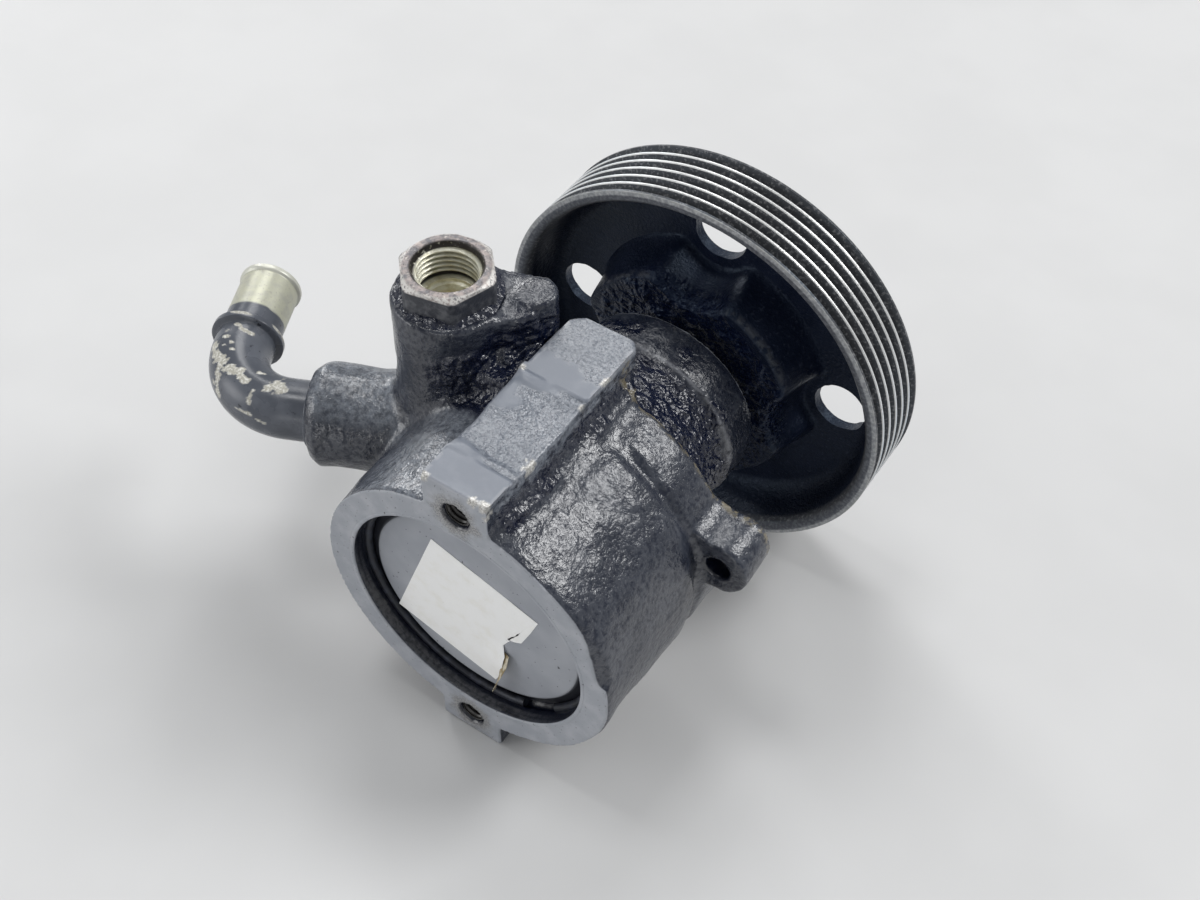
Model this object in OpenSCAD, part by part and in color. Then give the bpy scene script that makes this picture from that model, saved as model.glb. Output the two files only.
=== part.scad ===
// Power steering vane pump with a ribbed belt pulley, an outlet union and a bent suction tube.
// Millimetres. The drive shaft lies along Y, the machined rear face is the plane y = 0,
// the pulley is at +Y and the mounting rail is on top, at +Z.

/* [Pulley] */
// Outside diameter over the rib tips
pulley_d = 116; // [112:0.5:122]
// Width of the belt rim
pulley_w = 22.8; // [22:0.1:26]
// Number of belt grooves
groove_count = 6; // [4:1:6]
// Distance from groove to groove
groove_pitch = 3.56; // [3.4:0.02:3.6]
// Depth of a belt groove
groove_depth = 2.9; // [2.4:0.1:3.2]
// Thickness of the rim under the grooves
rim_wall = 2.2; // [1.6:0.1:3]
// Depth of the web behind the rear edge of the rim
web_depth = 13; // [11:0.5:15]
// Thickness of the web and of the boss wall
web_t = 3; // [2.5:0.1:4]
// Diameter of the round windows in the web
window_d = 15.4; // [12:0.2:17]
// Diameter of the circle through the window centres
window_circle_d = 82; // [80:0.5:84]
// Number of windows
window_count = 4; // [3:1:4]
// Height of the lobed boss above the rear of the web
boss_rise = 15; // [13:0.5:17]
// Diameter over the lobes of the boss at its rear edge
boss_d = 66; // [62:0.5:68]
// Diameter of the scallops round the windows at the rear edge of the boss
scallop_d = 29; // [26:0.5:31]
// Outside diameter of the hub sleeve
hub_d = 29; // [26:0.5:32]
// Gap between the nose of the housing and the boss
pulley_gap = 7; // [4:0.5:10]

/* [Housing] */
// Outside diameter of the barrel
body_d = 83.4; // [82:0.2:88]
// Diameter of the bore for the pumping set
bore_d = 67.6; // [66.6:0.1:68]
// Distance between the two threaded holes in the rear face
rear_hole_spacing = 83.2; // [82:0.2:84]
// Diameter of a rear threaded hole
rear_hole_d = 6.8; // [6:0.1:8]
// Depth of a rear threaded hole
rear_hole_depth = 18; // [12:0.5:24]
// Width of the top rail
rail_w = 18.6; // [17:0.2:21]
// Height of the rail pads above the shaft axis
rail_top = 50.5; // [48:0.5:54]
// Length of the rail
rail_l = 60.5; // [58:0.5:63]
// Length of the rear pad of the rail
rear_pad_l = 10; // [8:0.5:14]
// Length of the front pad of the rail
front_pad_l = 22.5; // [16:0.5:24]
// Depth of the cast stretch between the pads
rail_recess = 1.6; // [0.8:0.1:2.4]
// Depth of the lower lug below the shaft axis
lug_drop = 48.5; // [47:0.5:52]
// Length of the flat foot of the lower lug
lug_l = 11; // [8:0.5:16]
// Distance of the side ear's hole from the shaft axis
ear_offset = 45.6; // [45.4:0.2:48]
// Angle of the side ear above the horizontal
ear_angle = 12; // [8:1:20]
// Outside radius of the side ear
ear_r = 8.2; // [7.6:0.1:9.6]
// Thickness of the side ear
ear_t = 12.5; // [10:0.5:14]
// Diameter of the hole in the side ear
ear_hole_d = 6.8; // [6:0.1:7.2]
// Length of the nose in front of the barrel
nose_l = 36.5; // [36:0.5:42]
// Diameter of the bearing seat on the nose
nose_d = 53.6; // [52:0.2:58]
// Diameter of the waist behind the bearing seat
waist_d = 50; // [48:0.5:51.5]
// Length of the bearing seat on the nose
nose_ring_l = 12; // [10:0.5:14]

/* [Valve boss] */
// Distance of the valve axis from the plane through the shaft
valve_offset = 33.5; // [32:0.5:35]
// Height of the boss face above the shaft axis
valve_top = 58; // [56:0.5:62]
// Diameter of the valve bore
valve_d = 15; // [14:0.1:15.4]
// Outside diameter of the boss at its top face
valve_boss_d = 27.8; // [26.8:0.2:30]
// Draft of the boss, as the growth of its radius down to its foot
valve_boss_draft = 1.5; // [0.8:0.1:2]
// Diameter of the round cast pad beside the boss
pad_d = 10.6; // [9:0.2:12]

/* [Pumping set] */
// Depth of the end cover below the rear face
cover_recess = 5; // [4:0.5:6]
// Thickness of the end cover
cover_t = 6.5; // [6:0.5:8]
// Space for the dished spring between cover and pressure plate
spring_space = 3; // [2.5:0.1:4]
// Thickness of the pressure plate
plate_t = 5; // [4.5:0.5:7]
// Thickness of the cam ring
ring_t = 10; // [9:0.5:13]
// Thickness of the thrust plate
thrust_t = 3.5; // [3:0.5:5]
// Outside diameter of the cam ring and the thrust plate
ring_d = 59; // [58.6:0.2:60]
// Diameter of the rotor
rotor_d = 40.4; // [39:0.2:41]
// Stroke of the cam
cam_rise = 2.2; // [1.6:0.1:2.6]
// Number of vanes
vane_count = 10; // [8:1:10]
// Thickness of a vane
vane_t = 1.6; // [1.2:0.1:2]
// Radial height of a vane
vane_h = 8; // [6.5:0.1:8.4]
// Diameter of a dowel pin
dowel_d = 3.6; // [3:0.1:4]

/* [Shaft and bearing] */
// Diameter of the shaft in its bearings
shaft_d = 17; // [16:0.2:17.4]
// Diameter of the pulley seat on the shaft
seat_d = 16; // [14:0.2:16]
// Outside diameter of the ball bearing
bearing_d = 40; // [39:0.2:42]
// Width of the ball bearing
bearing_w = 12; // [11:0.2:13]
// Diameter of a bearing ball
ball_d = 6.75; // [6:0.05:7]
// Number of bearing balls
ball_count = 8; // [6:1:8]
// Outside diameter of the shaft seal
seal_d = 28; // [26:0.2:30]
// Width of the shaft seal
seal_w = 7; // [6:0.2:8]
// Wall of the plain bush
bush_wall = 2; // [1.5:0.1:2.5]

/* [Flow control valve] */
// Stroke of the spool
spool_stroke = 8; // [5:0.5:9]
// Wire diameter of the spool spring
spring_wire = 1.4; // [1:0.1:1.6]
// Diameter of the relief ball
relief_ball_d = 4; // [3.6:0.1:4.2]
// Lift of the relief ball
relief_lift = 0.8; // [0.4:0.1:1]

/* [Outlet union] */
// Width across the flats of the hexagon
hex_af = 21.8; // [20.6:0.1:22]
// Height of the hexagon
hex_h = 8; // [7:0.5:10]
// Diameter of the pipe thread in the union
pipe_thread_d = 16; // [15:0.1:16.4]
// Depth of the pipe thread
pipe_thread_l = 11; // [9:0.5:12]
// Diameter of the union's own thread
union_thread_d = 20; // [19.6:0.1:20.6]

/* [Suction tube] */
// Outside diameter of the tube
tube_d = 16; // [15:0.1:17]
// Wall of the tube
tube_wall = 1.4; // [1:0.1:1.8]
// Outside diameter of the cast inlet boss
inlet_boss_d = 27; // [26:0.2:29]
// Distance from the valve axis plane to the end of the inlet boss
inlet_reach = 35; // [34:0.5:38]
// Height of the inlet above the shaft axis
inlet_height = 11; // [9:0.5:13]
// Angle by which the inlet points to the rear
inlet_angle = 25; // [20:1:30]
// Straight length between the boss and the bend
tube_lead = 7.6; // [6:0.2:10]
// Radius of the bend
bend_r = 17.6; // [16:0.2:20]
// Angle of the bend
bend_angle = 91; // [85:1:100]
// Straight length after the bend
spigot_l = 25; // [22:0.5:30]

/* [Hidden] */
$fn = 96;

// Overlap of joined solids and overshoot of cuts
eps = 1;
// Radial clearance of a fixed fit
fit_gap = 0.02;
// Radial clearance of a running fit
run_gap = 0.04;
// Gap between faces that turn past each other
side_gap = 0.05;
// Gap between pieces that only lie close together
loose_gap = 0.3;

body_r = body_d / 2;
bore_r = bore_d / 2;
shaft_r = shaft_d / 2;
rotor_r = rotor_d / 2;

// Stations of the pumping set along the shaft, from the rear
cover_y = cover_recess;
space_y = cover_y + cover_t;
plate_y = space_y + spring_space;
ring_y = plate_y + plate_t;
thrust_y = ring_y + ring_t;
chamber_y = thrust_y + thrust_t;

// The valve bore lies just in front of the chamber
valve_wall = 2.5;
valve_r = valve_d / 2;
valve_x = -valve_offset;
valve_y = chamber_y + valve_wall + valve_r;
valve_boss_r = valve_boss_d / 2;
body_front_wall = 4;
body_l = valve_y + valve_r + body_front_wall;
nose_y = body_l + nose_l;

// Nose stations, from the front
clip_t = 1.5;
clip_inset = 1;
clip_y = nose_y - clip_inset - clip_t;
bearing_y = clip_y - fit_gap - bearing_w;
seal_y = bearing_y - seal_w - loose_gap;
seat_step = 1;
nose_r = nose_d / 2;
waist_r = waist_d / 2;
seat_ring_y = nose_y - nose_ring_l;

// Pulley stations
boss_y = nose_y + pulley_gap;
web_y = boss_y + boss_rise;
rim_y = web_y - web_depth;
rim_front_y = rim_y + pulley_w;
pulley_r = pulley_d / 2;
groove_r = pulley_r - groove_depth;
rim_r = groove_r - rim_wall;
window_r = window_d / 2;
window_circle_r = window_circle_d / 2;
hub_r = hub_d / 2;
seat_r = seat_d / 2;
hub_front_y = web_y + web_t + 2;

// Bearing
bearing_r = bearing_d / 2;
ball_r = ball_d / 2;
race_r = (bearing_r + shaft_r) / 2;
race_land = ball_r * 0.52;

// Valve train heights, along Z
union_stem_z = 31;
coil_turns = 6;
spool_nose_z = union_stem_z - loose_gap;
land_z = 21;
spool_foot_z = -6;
spring_reserve = 1.6;
valve_depth = spool_stroke + coil_turns * spring_wire + spring_reserve - spool_foot_z;

// Suction tube frame
tube_r = tube_d / 2;
inlet_boss_r = inlet_boss_d / 2;
inlet_root = [valve_x, valve_y - 3.3, inlet_height];
tube_seat = 12;

// Helpers

// Cylinder or cone along the shaft direction
module rod_y(r, y0, y1, x = 0, z = 0, r_end = -1)
    translate([x, y0, z]) rotate([-90, 0, 0])
        cylinder(r1 = r, r2 = r_end < 0 ? r : r_end, h = y1 - y0);

// Solid of revolution about the shaft axis from [radius, y] points
module turned(points)
    rotate([-90, 0, 0]) rotate_extrude() polygon(points);

// Places children round the shaft axis
module around(count, radius, start = 0)
    for (i = [0 : count - 1])
        rotate([0, -start - 360 * i / count, 0]) translate([radius, 0, 0]) children();

// Frame of the valve bore
module at_valve() translate([valve_x, valve_y, 0]) children();

// Frame of the inlet: +X runs out of the boss
module at_inlet() translate(inlet_root) rotate([0, 0, 180 + inlet_angle]) children();

// Cylinder along the inlet direction
module rod_inlet(r, x0, x1, r_end = -1)
    translate([x0, 0, 0]) rotate([0, 90, 0])
        cylinder(r1 = r, r2 = r_end < 0 ? r : r_end, h = x1 - x0);

// Block between two corners
module block(low, high) translate(low) cube(high - low);

// Helical wire standing along Z, with flat lying ends
module coil(mean_r, wire_d, z0, z1, turns) {
    sides = 8;
    per_turn = 18;
    steps = ceil(turns * per_turn);
    rise = z1 - z0 - wire_d;
    function lift(t) = t < 1 ? t * wire_d * 0.55
        : t > turns - 1 ? rise - (turns - t) * wire_d * 0.55
        : wire_d * 0.55 + (rise - 1.1 * wire_d) * (t - 1) / (turns - 2);
    function ring(i) = let (t = turns * i / steps, a = 360 * t)
        [for (k = [0 : sides - 1]) let (b = 360 * k / sides, q = mean_r + wire_d / 2 * cos(b))
            [q * cos(a), q * sin(a), z0 + wire_d / 2 + lift(t) + wire_d / 2 * sin(b)]];
    points = [for (i = [0 : steps]) each ring(i)];
    walls = [for (i = [0 : steps - 1], k = [0 : sides - 1])
        [i * sides + k, i * sides + (k + 1) % sides,
            (i + 1) * sides + (k + 1) % sides, (i + 1) * sides + k]];
    first = [for (k = [sides - 1 : -1 : 0]) k];
    last = [for (k = [0 : sides - 1]) steps * sides + k];
    polyhedron(points, concat(walls, [first], [last]));
}

// Housing

groove_from_thrust = 10.5;
groove_y = thrust_y + groove_from_thrust;
groove_half = 2.4;
cast_groove = 1.3;
edge = 0.8;
neck_run = 16;

module housing_barrel()
    turned([
        [0, 0], [body_r - edge, 0], [body_r, edge], [body_r, groove_y - groove_half],
        [body_r - cast_groove, groove_y], [body_r, groove_y + groove_half],
        [body_r, body_l - 2 * edge], [body_r - 2 * edge, body_l],
        [waist_r + neck_run / 2, body_l + neck_run / 8], [waist_r + neck_run / 5, body_l + 3 * neck_run / 8],
        [waist_r + neck_run / 20, body_l + 3 * neck_run / 4], [waist_r, body_l + neck_run],
        [waist_r, seat_ring_y - seat_step], [nose_r - edge / 2, seat_ring_y],
        [nose_r, seat_ring_y + edge / 2], [nose_r, nose_y - edge], [nose_r - edge, nose_y], [0, nose_y]
    ]);

rail_foot = body_r * 0.7;
ledge_w = rail_w + 6.4;
ledge_h = sqrt(body_r * body_r - rail_w * rail_w / 4) + 0.8;

rail_cut = 2.6;
rail_nick = 2;
ledge_end = 1;

// Bar of the rail from y0 to its front end, whose corners are cut
module rail_bar(y0, top) {
    half = rail_w / 2;
    translate([0, 0, rail_foot]) linear_extrude(top - rail_foot)
        polygon([[-half, y0], [half, y0], [half, rail_l - rail_nick], [half - rail_nick, rail_l],
            [rail_cut - half, rail_l], [-half, rail_l - rail_cut]]);
}

module housing_rail() {
    half = rail_w / 2;
    rail_bar(0, rail_top - rail_recess);
    block([-half, 0, rail_foot], [half, rear_pad_l, rail_top]);
    rail_bar(rail_l - front_pad_l, rail_top);
    ledge = ledge_w / 2;
    translate([0, 0, rail_foot]) linear_extrude(ledge_h - rail_foot)
        polygon([[-ledge, rear_pad_l], [ledge, rear_pad_l], [ledge, body_l + ledge_end],
            [half, rail_l - rail_nick], [-half, rail_l - rail_cut], [-ledge, body_l + ledge_end]]);
}

lug_w = rail_w - 0.6;
lug_slope_l = 12;
lug_root = 1.5;

module housing_lug()
    translate([-lug_w / 2, 0, 0]) rotate([90, 0, 90]) linear_extrude(lug_w)
        polygon([[0, -rail_foot], [0, -lug_drop], [lug_l, -lug_drop],
            [lug_l + lug_slope_l, -body_r + lug_root], [lug_l + lug_slope_l, -rail_foot]]);

ear_x = ear_offset * cos(ear_angle);
ear_z = ear_offset * sin(ear_angle);
ear_root_r = body_r - 8;
ear_web_share = 0.95;
ear_flare_low = 1;
ear_flare_top = 7;

module housing_ear() {
    rod_y(ear_r, body_l - ear_t, body_l, ear_x, ear_z);
    side = ear_r * ear_web_share;
    rotate([0, -ear_angle, 0]) translate([0, body_l, 0]) rotate([90, 0, 0]) linear_extrude(ear_t)
        polygon([[ear_root_r, -side - ear_flare_low], [ear_offset, -side],
            [ear_offset, side], [ear_root_r, side + ear_flare_top]]);
}

// Round cast pad, set from the valve axis
pad_from_valve = [16.7, 11.3];
pad_pos = [valve_x + pad_from_valve.x, valve_y + pad_from_valve.y];
pad_rise = 0.5;
pad_top = valve_top + pad_rise;
pad_r = pad_d / 2;
pad_web_drop = 1.5;
pad_web_flare = 1.6;
boss_web_share = 0.93;
boss_foot = 4;
boss_floor = 1;
boss_foot_chamfer = boss_foot - boss_floor;
rail_web_y0 = valve_y - valve_boss_r * 0.55;
rail_web_y1 = body_l - 3;
rail_web_drop = 12;
rail_web_slope = 1;
rail_web_foot = 10;

module housing_valve_boss() {
    at_valve() {
        foot_r = valve_boss_r + valve_boss_draft;
        rotate_extrude() polygon([[0, -valve_depth - boss_foot],
            [foot_r - boss_foot_chamfer, -valve_depth - boss_foot],
            [foot_r, -valve_depth - boss_floor], [valve_boss_r, valve_top], [0, valve_top]]);
    }
    translate([pad_pos.x, pad_pos.y, rail_foot]) cylinder(r = pad_r, h = pad_top - rail_foot);
    across = atan2(pad_pos.y - valve_y, pad_pos.x - valve_x);
    apart = norm(pad_pos - [valve_x, valve_y]);
    translate([valve_x, valve_y, rail_foot * 0.5]) rotate(across)
        linear_extrude(pad_top - pad_web_drop - rail_foot * 0.5)
            polygon([[0, -valve_boss_r * boss_web_share], [apart, -pad_r - pad_web_flare],
                [apart + pad_r / 2, 0], [apart, pad_r + pad_web_flare],
                [0, valve_boss_r * boss_web_share]]);
    rail_side = -rail_w / 2 + eps;
    translate([0, rail_web_y1, 0]) rotate([90, 0, 0]) linear_extrude(rail_web_y1 - rail_web_y0)
        polygon([[valve_x, rail_web_foot], [valve_x, valve_top - rail_web_drop],
            [pad_pos.x, valve_top - rail_web_drop - rail_web_slope],
            [rail_side, rail_top - 4], [rail_side, rail_web_foot]]);
}

inlet_chamfer = 2.6;
inlet_step = 2.1;

module housing_inlet_boss()
    at_inlet() {
        rod_inlet(inlet_boss_r, 2, inlet_reach - inlet_chamfer);
        rod_inlet(inlet_boss_r, inlet_reach - inlet_chamfer, inlet_reach, inlet_boss_r - inlet_step);
    }

wire_d = 2.4;
ring_wire_y = cover_y + 0.65;
wire_gap = 0.1;
wire_circle_r = bore_r - 0.1;
mouth_chamfer = 1;
notch_angle = 26;
notch_tilt = 12;
notch_r = 3.4;
notch_l = 24;
notch_out = 0.8;
notch_behind = 1.2;

module housing_chamber() {
    turned([[0, -eps], [bore_r + mouth_chamfer, -eps], [bore_r + mouth_chamfer, 0],
        [bore_r, mouth_chamfer], [bore_r, chamber_y], [0, chamber_y]]);
    translate([0, ring_wire_y, 0]) rotate([-90, 0, 0]) rotate_extrude()
        translate([wire_circle_r, 0]) circle(d = wire_d + wire_gap, $fn = 32);
    rotate([0, -notch_angle, 0]) translate([body_r + notch_out, -notch_behind, 0])
        rotate([0, notch_tilt, 0]) cylinder(r = notch_r, h = notch_l, center = true);
}

bush_y = chamber_y + 2;
bush_l = 16;
bush_r = shaft_r + run_gap + bush_wall;
seal_r = seal_d / 2;
clip_groove = 1.3;

module housing_shaft_bores() {
    rod_y(shaft_r + 0.8, chamber_y - eps, nose_y + eps);
    rod_y(bush_r + fit_gap, chamber_y - eps, bush_y + bush_l);
    rod_y(seal_r + fit_gap, seal_y, nose_y + eps);
    rod_y(bearing_r + fit_gap, bearing_y, nose_y + eps);
    rod_y(bearing_r + clip_groove, clip_y - fit_gap, clip_y + clip_t + fit_gap);
}

union_r = union_thread_d / 2;
union_body_l = 15;
union_seat_z = valve_top - union_body_l;
union_seal_d = 1.9;
seal_pocket_r = union_r + union_seal_d + 0.1;
suction_r = tube_r - tube_wall;
suction_port_r = 3;
suction_port_angle = 18;
drill_r = 1.7;
drill_lead = 3;
drill_angle = 36.6;

module housing_valve_bores() {
    at_valve() {
        translate([0, 0, -valve_depth]) cylinder(r = valve_r, h = valve_depth + valve_top);
        translate([0, 0, union_seat_z]) cylinder(r = union_r + fit_gap, h = valve_top);
        translate([0, 0, valve_top - union_seal_d]) cylinder(r = seal_pocket_r, h = union_seal_d + eps);
    }
    at_inlet() {
        rod_inlet(suction_r, 0, inlet_reach + eps);
        rod_inlet(tube_r + fit_gap, inlet_reach - tube_seat, inlet_reach + eps);
    }
    // Suction port into the chamber, and discharge drilling from behind the pressure plate
    suction_circle_r = bore_r - suction_port_r - loose_gap;
    rod_y(suction_port_r, chamber_y - eps, valve_y,
        -suction_circle_r * cos(suction_port_angle), suction_circle_r * sin(suction_port_angle));
    drill_from = [-bore_r * cos(drill_angle), space_y + spring_space / 2, bore_r * sin(drill_angle)];
    drill_to = [valve_x, valve_y, union_stem_z - 1];
    run = drill_to - drill_from;
    translate(drill_from) rotate([0, acos(run.z / norm(run)), atan2(run.y, run.x)])
        translate([0, 0, -drill_lead]) cylinder(r = drill_r, h = norm(run) + drill_lead);
}

dowel_r = dowel_d / 2;
dowel_circle_r = (ring_d / 2 + rotor_r + cam_rise) / 2;
dowel_angle = 90;
dowel_sink = 3;

module housing_bolt_holes() {
    countersink = 0.9;
    for (side = [-1, 1]) {
        z = side * rear_hole_spacing / 2;
        rod_y(rear_hole_d / 2, -eps, rear_hole_depth, 0, z);
        rod_y(rear_hole_d / 2 + countersink + eps, -eps, countersink, 0, z, rear_hole_d / 2);
    }
    rod_y(ear_hole_d / 2, body_l - ear_t - eps, body_l + eps, ear_x, ear_z);
    dowel_holes(chamber_y - eps, chamber_y + dowel_sink);
}

module pump_housing()
    color([0.07, 0.075, 0.09])
    difference() {
        union() {
            housing_barrel();
            housing_rail();
            housing_lug();
            housing_ear();
            housing_valve_boss();
            housing_inlet_boss();
        }
        housing_chamber();
        housing_shaft_bores();
        housing_valve_bores();
        housing_bolt_holes();
    }

// Shaft, bush, seal and bearing

shaft_tail_y = space_y + 1.2;
spline_count = 10;
spline_root_r = shaft_r - 1.2;
spline_tip_r = shaft_r - 0.2;
spline_w = 2.2;
clip_ring_t = 1.2;
clip_ring_y = ring_y - 1.4;
clip_ring_depth = 1.2;
clip_root_r = spline_tip_r - clip_ring_depth;
puller_thread_r = seat_r / 2;
puller_thread_l = 18;
tip_chamfer = 0.8;

module splines(root_r, tip_r, width, y0, y1) {
    rod_y(root_r, y0, y1);
    around(spline_count, 0) block([root_r - 1, y0, -width / 2], [tip_r, y1, width / 2]);
}

module drive_shaft()
    color([0.55, 0.55, 0.56])
    difference() {
        union() {
            splines(spline_root_r, spline_tip_r, spline_w, shaft_tail_y, thrust_y + eps);
            rod_y(shaft_r, thrust_y, bearing_y + bearing_w + 2);
            rod_y(seat_r, bearing_y, hub_front_y);
            rod_y(seat_r, hub_front_y, hub_front_y + tip_chamfer, r_end = seat_r - tip_chamfer);
        }
        clip_y0 = clip_ring_y - fit_gap;
        clip_y1 = clip_ring_y + clip_ring_t + fit_gap;
        turned([[clip_root_r, clip_y0], [shaft_r + eps, clip_y0],
            [shaft_r + eps, clip_y1], [clip_root_r, clip_y1]]);
        rod_y(puller_thread_r, hub_front_y - puller_thread_l, hub_front_y + 2 * eps);
    }

module shaft_bush()
    color([0.6, 0.46, 0.24])
    difference() {
        rod_y(bush_r, bush_y, bush_y + bush_l);
        rod_y(shaft_r + run_gap, bush_y - eps, bush_y + bush_l + eps);
    }

module shaft_seal() {
    case_t = 1.2;
    lip_r = shaft_r + run_gap;
    color([0.1, 0.1, 0.1])
    turned([[seal_r, seal_y + 0.4], [seal_r, seal_y + seal_w], [lip_r + 2.2, seal_y + seal_w],
        [lip_r + 0.5, seal_y + seal_w - case_t], [lip_r, seal_y + seal_w - 2.2 * case_t],
        [lip_r + 1.4, seal_y + 1.5 * case_t], [lip_r + 3, seal_y + 2 * case_t],
        [lip_r + 2.6, seal_y + seal_w - 1.6 * case_t], [seal_r - case_t, seal_y + seal_w - 1.6 * case_t],
        [seal_r - case_t, seal_y + 0.4]]);
}

race_gap = 0.03;

// Ball track cut out of both races
module ball_track()
    translate([0, bearing_y + bearing_w / 2, 0]) rotate([-90, 0, 0]) rotate_extrude()
        translate([race_r, 0]) circle(r = ball_r + race_gap, $fn = 48);

module race_ring(r0, r1) {
    bevel = 0.6;
    y0 = bearing_y;
    y1 = bearing_y + bearing_w;
    difference() {
        turned([[r0, y0 + bevel], [r0 + bevel, y0], [r1 - bevel, y0], [r1, y0 + bevel],
            [r1, y1 - bevel], [r1 - bevel, y1], [r0 + bevel, y1], [r0, y1 - bevel]]);
        ball_track();
    }
}

module bearing_outer_race() color([0.7, 0.7, 0.72]) race_ring(race_r + race_land, bearing_r);

module bearing_inner_race() color([0.7, 0.7, 0.72]) race_ring(shaft_r + fit_gap, race_r - race_land);

module bearing_balls()
    color([0.8, 0.8, 0.82])
    around(ball_count, race_r) translate([0, bearing_y + bearing_w / 2, 0]) sphere(r = ball_r);

module bearing_cage() {
    half = race_land - loose_gap;
    cage_lip = 1.2;
    y_mid = bearing_y + bearing_w / 2;
    color([0.62, 0.5, 0.3])
    difference() {
        turned([[race_r - half, y_mid - cage_lip], [race_r + half, y_mid - cage_lip],
            [race_r + half, y_mid + ball_r + cage_lip], [race_r - half, y_mid + ball_r + cage_lip]]);
        around(ball_count, 0) translate([0, y_mid, 0]) rotate([0, 90, 0])
            cylinder(r = ball_r + loose_gap, h = bearing_r);
    }
}

module split_ring(r0, r1, y0, y1, gap) {
    difference() {
        rod_y(r1, y0, y1);
        rod_y(r0, y0 - eps, y1 + eps);
        block([-gap / 2, y0 - eps, -r1 - eps], [gap / 2, y1 + eps, 0]);
    }
}

clip_reach = 2.4;
clip_opening = 14;

module bearing_retaining_ring()
    color([0.25, 0.25, 0.26])
    split_ring(bearing_r - clip_reach, bearing_r + clip_groove - fit_gap * 2,
        clip_y, clip_y + clip_t, clip_opening);

// Pulley

// Solid of the lobed boss, shrunk by a wall
module lobed(wall, y0, y1) {
    draft = 3;
    lean = draft / boss_rise;
    outer = boss_d / 2 - wall;
    scallop = scallop_d / 2 + wall;
    difference() {
        rod_y(outer + lean * (y0 - boss_y), y0, y1, r_end = outer + lean * (y1 - boss_y));
        around(window_count, window_circle_r)
            rod_y(scallop - lean * (y0 - eps - boss_y), y0 - eps, y1 + eps,
                r_end = scallop - lean * (y1 + eps - boss_y));
    }
}

module pulley_rim() {
    lip = (pulley_w - groove_count * groove_pitch) / 2;
    flat = 0.35;
    teeth = [for (i = [0 : groove_count - 1]) let (y = rim_y + lip + i * groove_pitch) each [
        [pulley_r, y + flat], [groove_r, y + groove_pitch / 2 - flat],
        [groove_r, y + groove_pitch / 2 + flat], [pulley_r, y + groove_pitch - flat]]];
    turned(concat([[rim_r + 2.4, rim_y], [pulley_r - 0.4, rim_y], [pulley_r, rim_y + 0.2]], teeth,
        [[pulley_r, rim_front_y - 0.2], [pulley_r - 0.4, rim_front_y], [rim_r + 1.6, rim_front_y],
        [rim_r, rim_front_y - 3], [rim_r, web_y + web_t + 1.5], [rim_r - 1.5, web_y + web_t],
        [0, web_y + web_t], [0, web_y], [rim_r - 5, web_y], [rim_r - 1.5, web_y - 3], [rim_r, web_y - 7],
        [rim_r + 1, rim_y + 2]]));
}

module pulley()
    color([0.06, 0.065, 0.075])
    difference() {
        union() {
            difference() {
                union() {
                    pulley_rim();
                    lobed(0, boss_y, web_y + 0.5);
                }
                lobed(web_t, boss_y + web_t, web_y + web_t + eps);
            }
            rod_y(hub_r, boss_y, hub_front_y);
        }
        around(window_count, window_circle_r) rod_y(window_r, web_y - eps, web_y + web_t + eps);
        rod_y(seat_r + fit_gap / 2, boss_y - eps, hub_front_y + eps);
    }

// Pumping set

cam_minor_r = rotor_r + 0.25;
ring_r = ring_d / 2;
port_w = 3.2;
port_r1 = cam_minor_r + cam_rise + 0.7;
port_r0 = port_r1 - port_w;
port_span = 36;
suction_phase = 45;
pressure_phase = 135;

module dowel_holes(y0, y1)
    around(2, dowel_circle_r, dowel_angle) rod_y(dowel_r + fit_gap, y0, y1);

// Kidney-shaped port, swept round the shaft axis
module port(y0, y1, mid_angle)
    rotate([0, -mid_angle - port_span / 2, 0]) rotate([-90, 0, 0]) rotate_extrude(angle = port_span)
        polygon([[port_r0, y0], [port_r1, y0], [port_r1, y1], [port_r0, y1]]);

module thrust_plate()
    color([0.5, 0.5, 0.52])
    difference() {
        rod_y(ring_r, thrust_y, chamber_y);
        rod_y(shaft_r + 0.5, thrust_y - eps, chamber_y + eps);
        for (a = [0, 180]) port(thrust_y - eps, chamber_y + eps, a + suction_phase);
        dowel_holes(thrust_y - eps, chamber_y + eps);
    }

function cam_r(a) = cam_minor_r + cam_rise * (1 - cos(2 * a)) / 2;

module cam_ring() {
    cam_points = 120;
    color([0.45, 0.45, 0.47])
    difference() {
        rod_y(ring_r, ring_y, thrust_y);
        translate([0, ring_y - eps, 0]) rotate([-90, 0, 0]) linear_extrude(ring_t + 2 * eps)
            polygon([for (i = [0 : cam_points - 1]) let (a = 360 * i / cam_points)
                cam_r(a) * [cos(a), sin(a)]]);
        dowel_holes(ring_y - eps, thrust_y + eps);
    }
}

vane_slot_r = rotor_r - vane_h - 0.6;
vane_slot_w = vane_t + 2 * run_gap;
vane_root_r = vane_t * 0.75;
vane_start = 180 / vane_count;
vane_proud = 0.08;

module rotor()
    color([0.48, 0.48, 0.5])
    difference() {
        rod_y(rotor_r, ring_y + side_gap, thrust_y - side_gap);
        splines(spline_root_r + fit_gap, spline_tip_r + fit_gap, spline_w + 2 * fit_gap,
            ring_y - eps, thrust_y + eps);
        around(vane_count, 0, vane_start) {
            block([vane_slot_r, ring_y - eps, -vane_slot_w / 2],
                [rotor_r + eps, thrust_y + eps, vane_slot_w / 2]);
            rod_y(vane_root_r, ring_y - eps, thrust_y + eps, vane_slot_r);
        }
    }

module vanes()
    color([0.66, 0.66, 0.68])
    around(vane_count, 0, vane_start)
        block([rotor_r - vane_h, ring_y + side_gap, -vane_t / 2],
            [rotor_r + vane_proud, thrust_y - side_gap, vane_t / 2]);

clip_proud = 0.8;
clip_split = 5;

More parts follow.
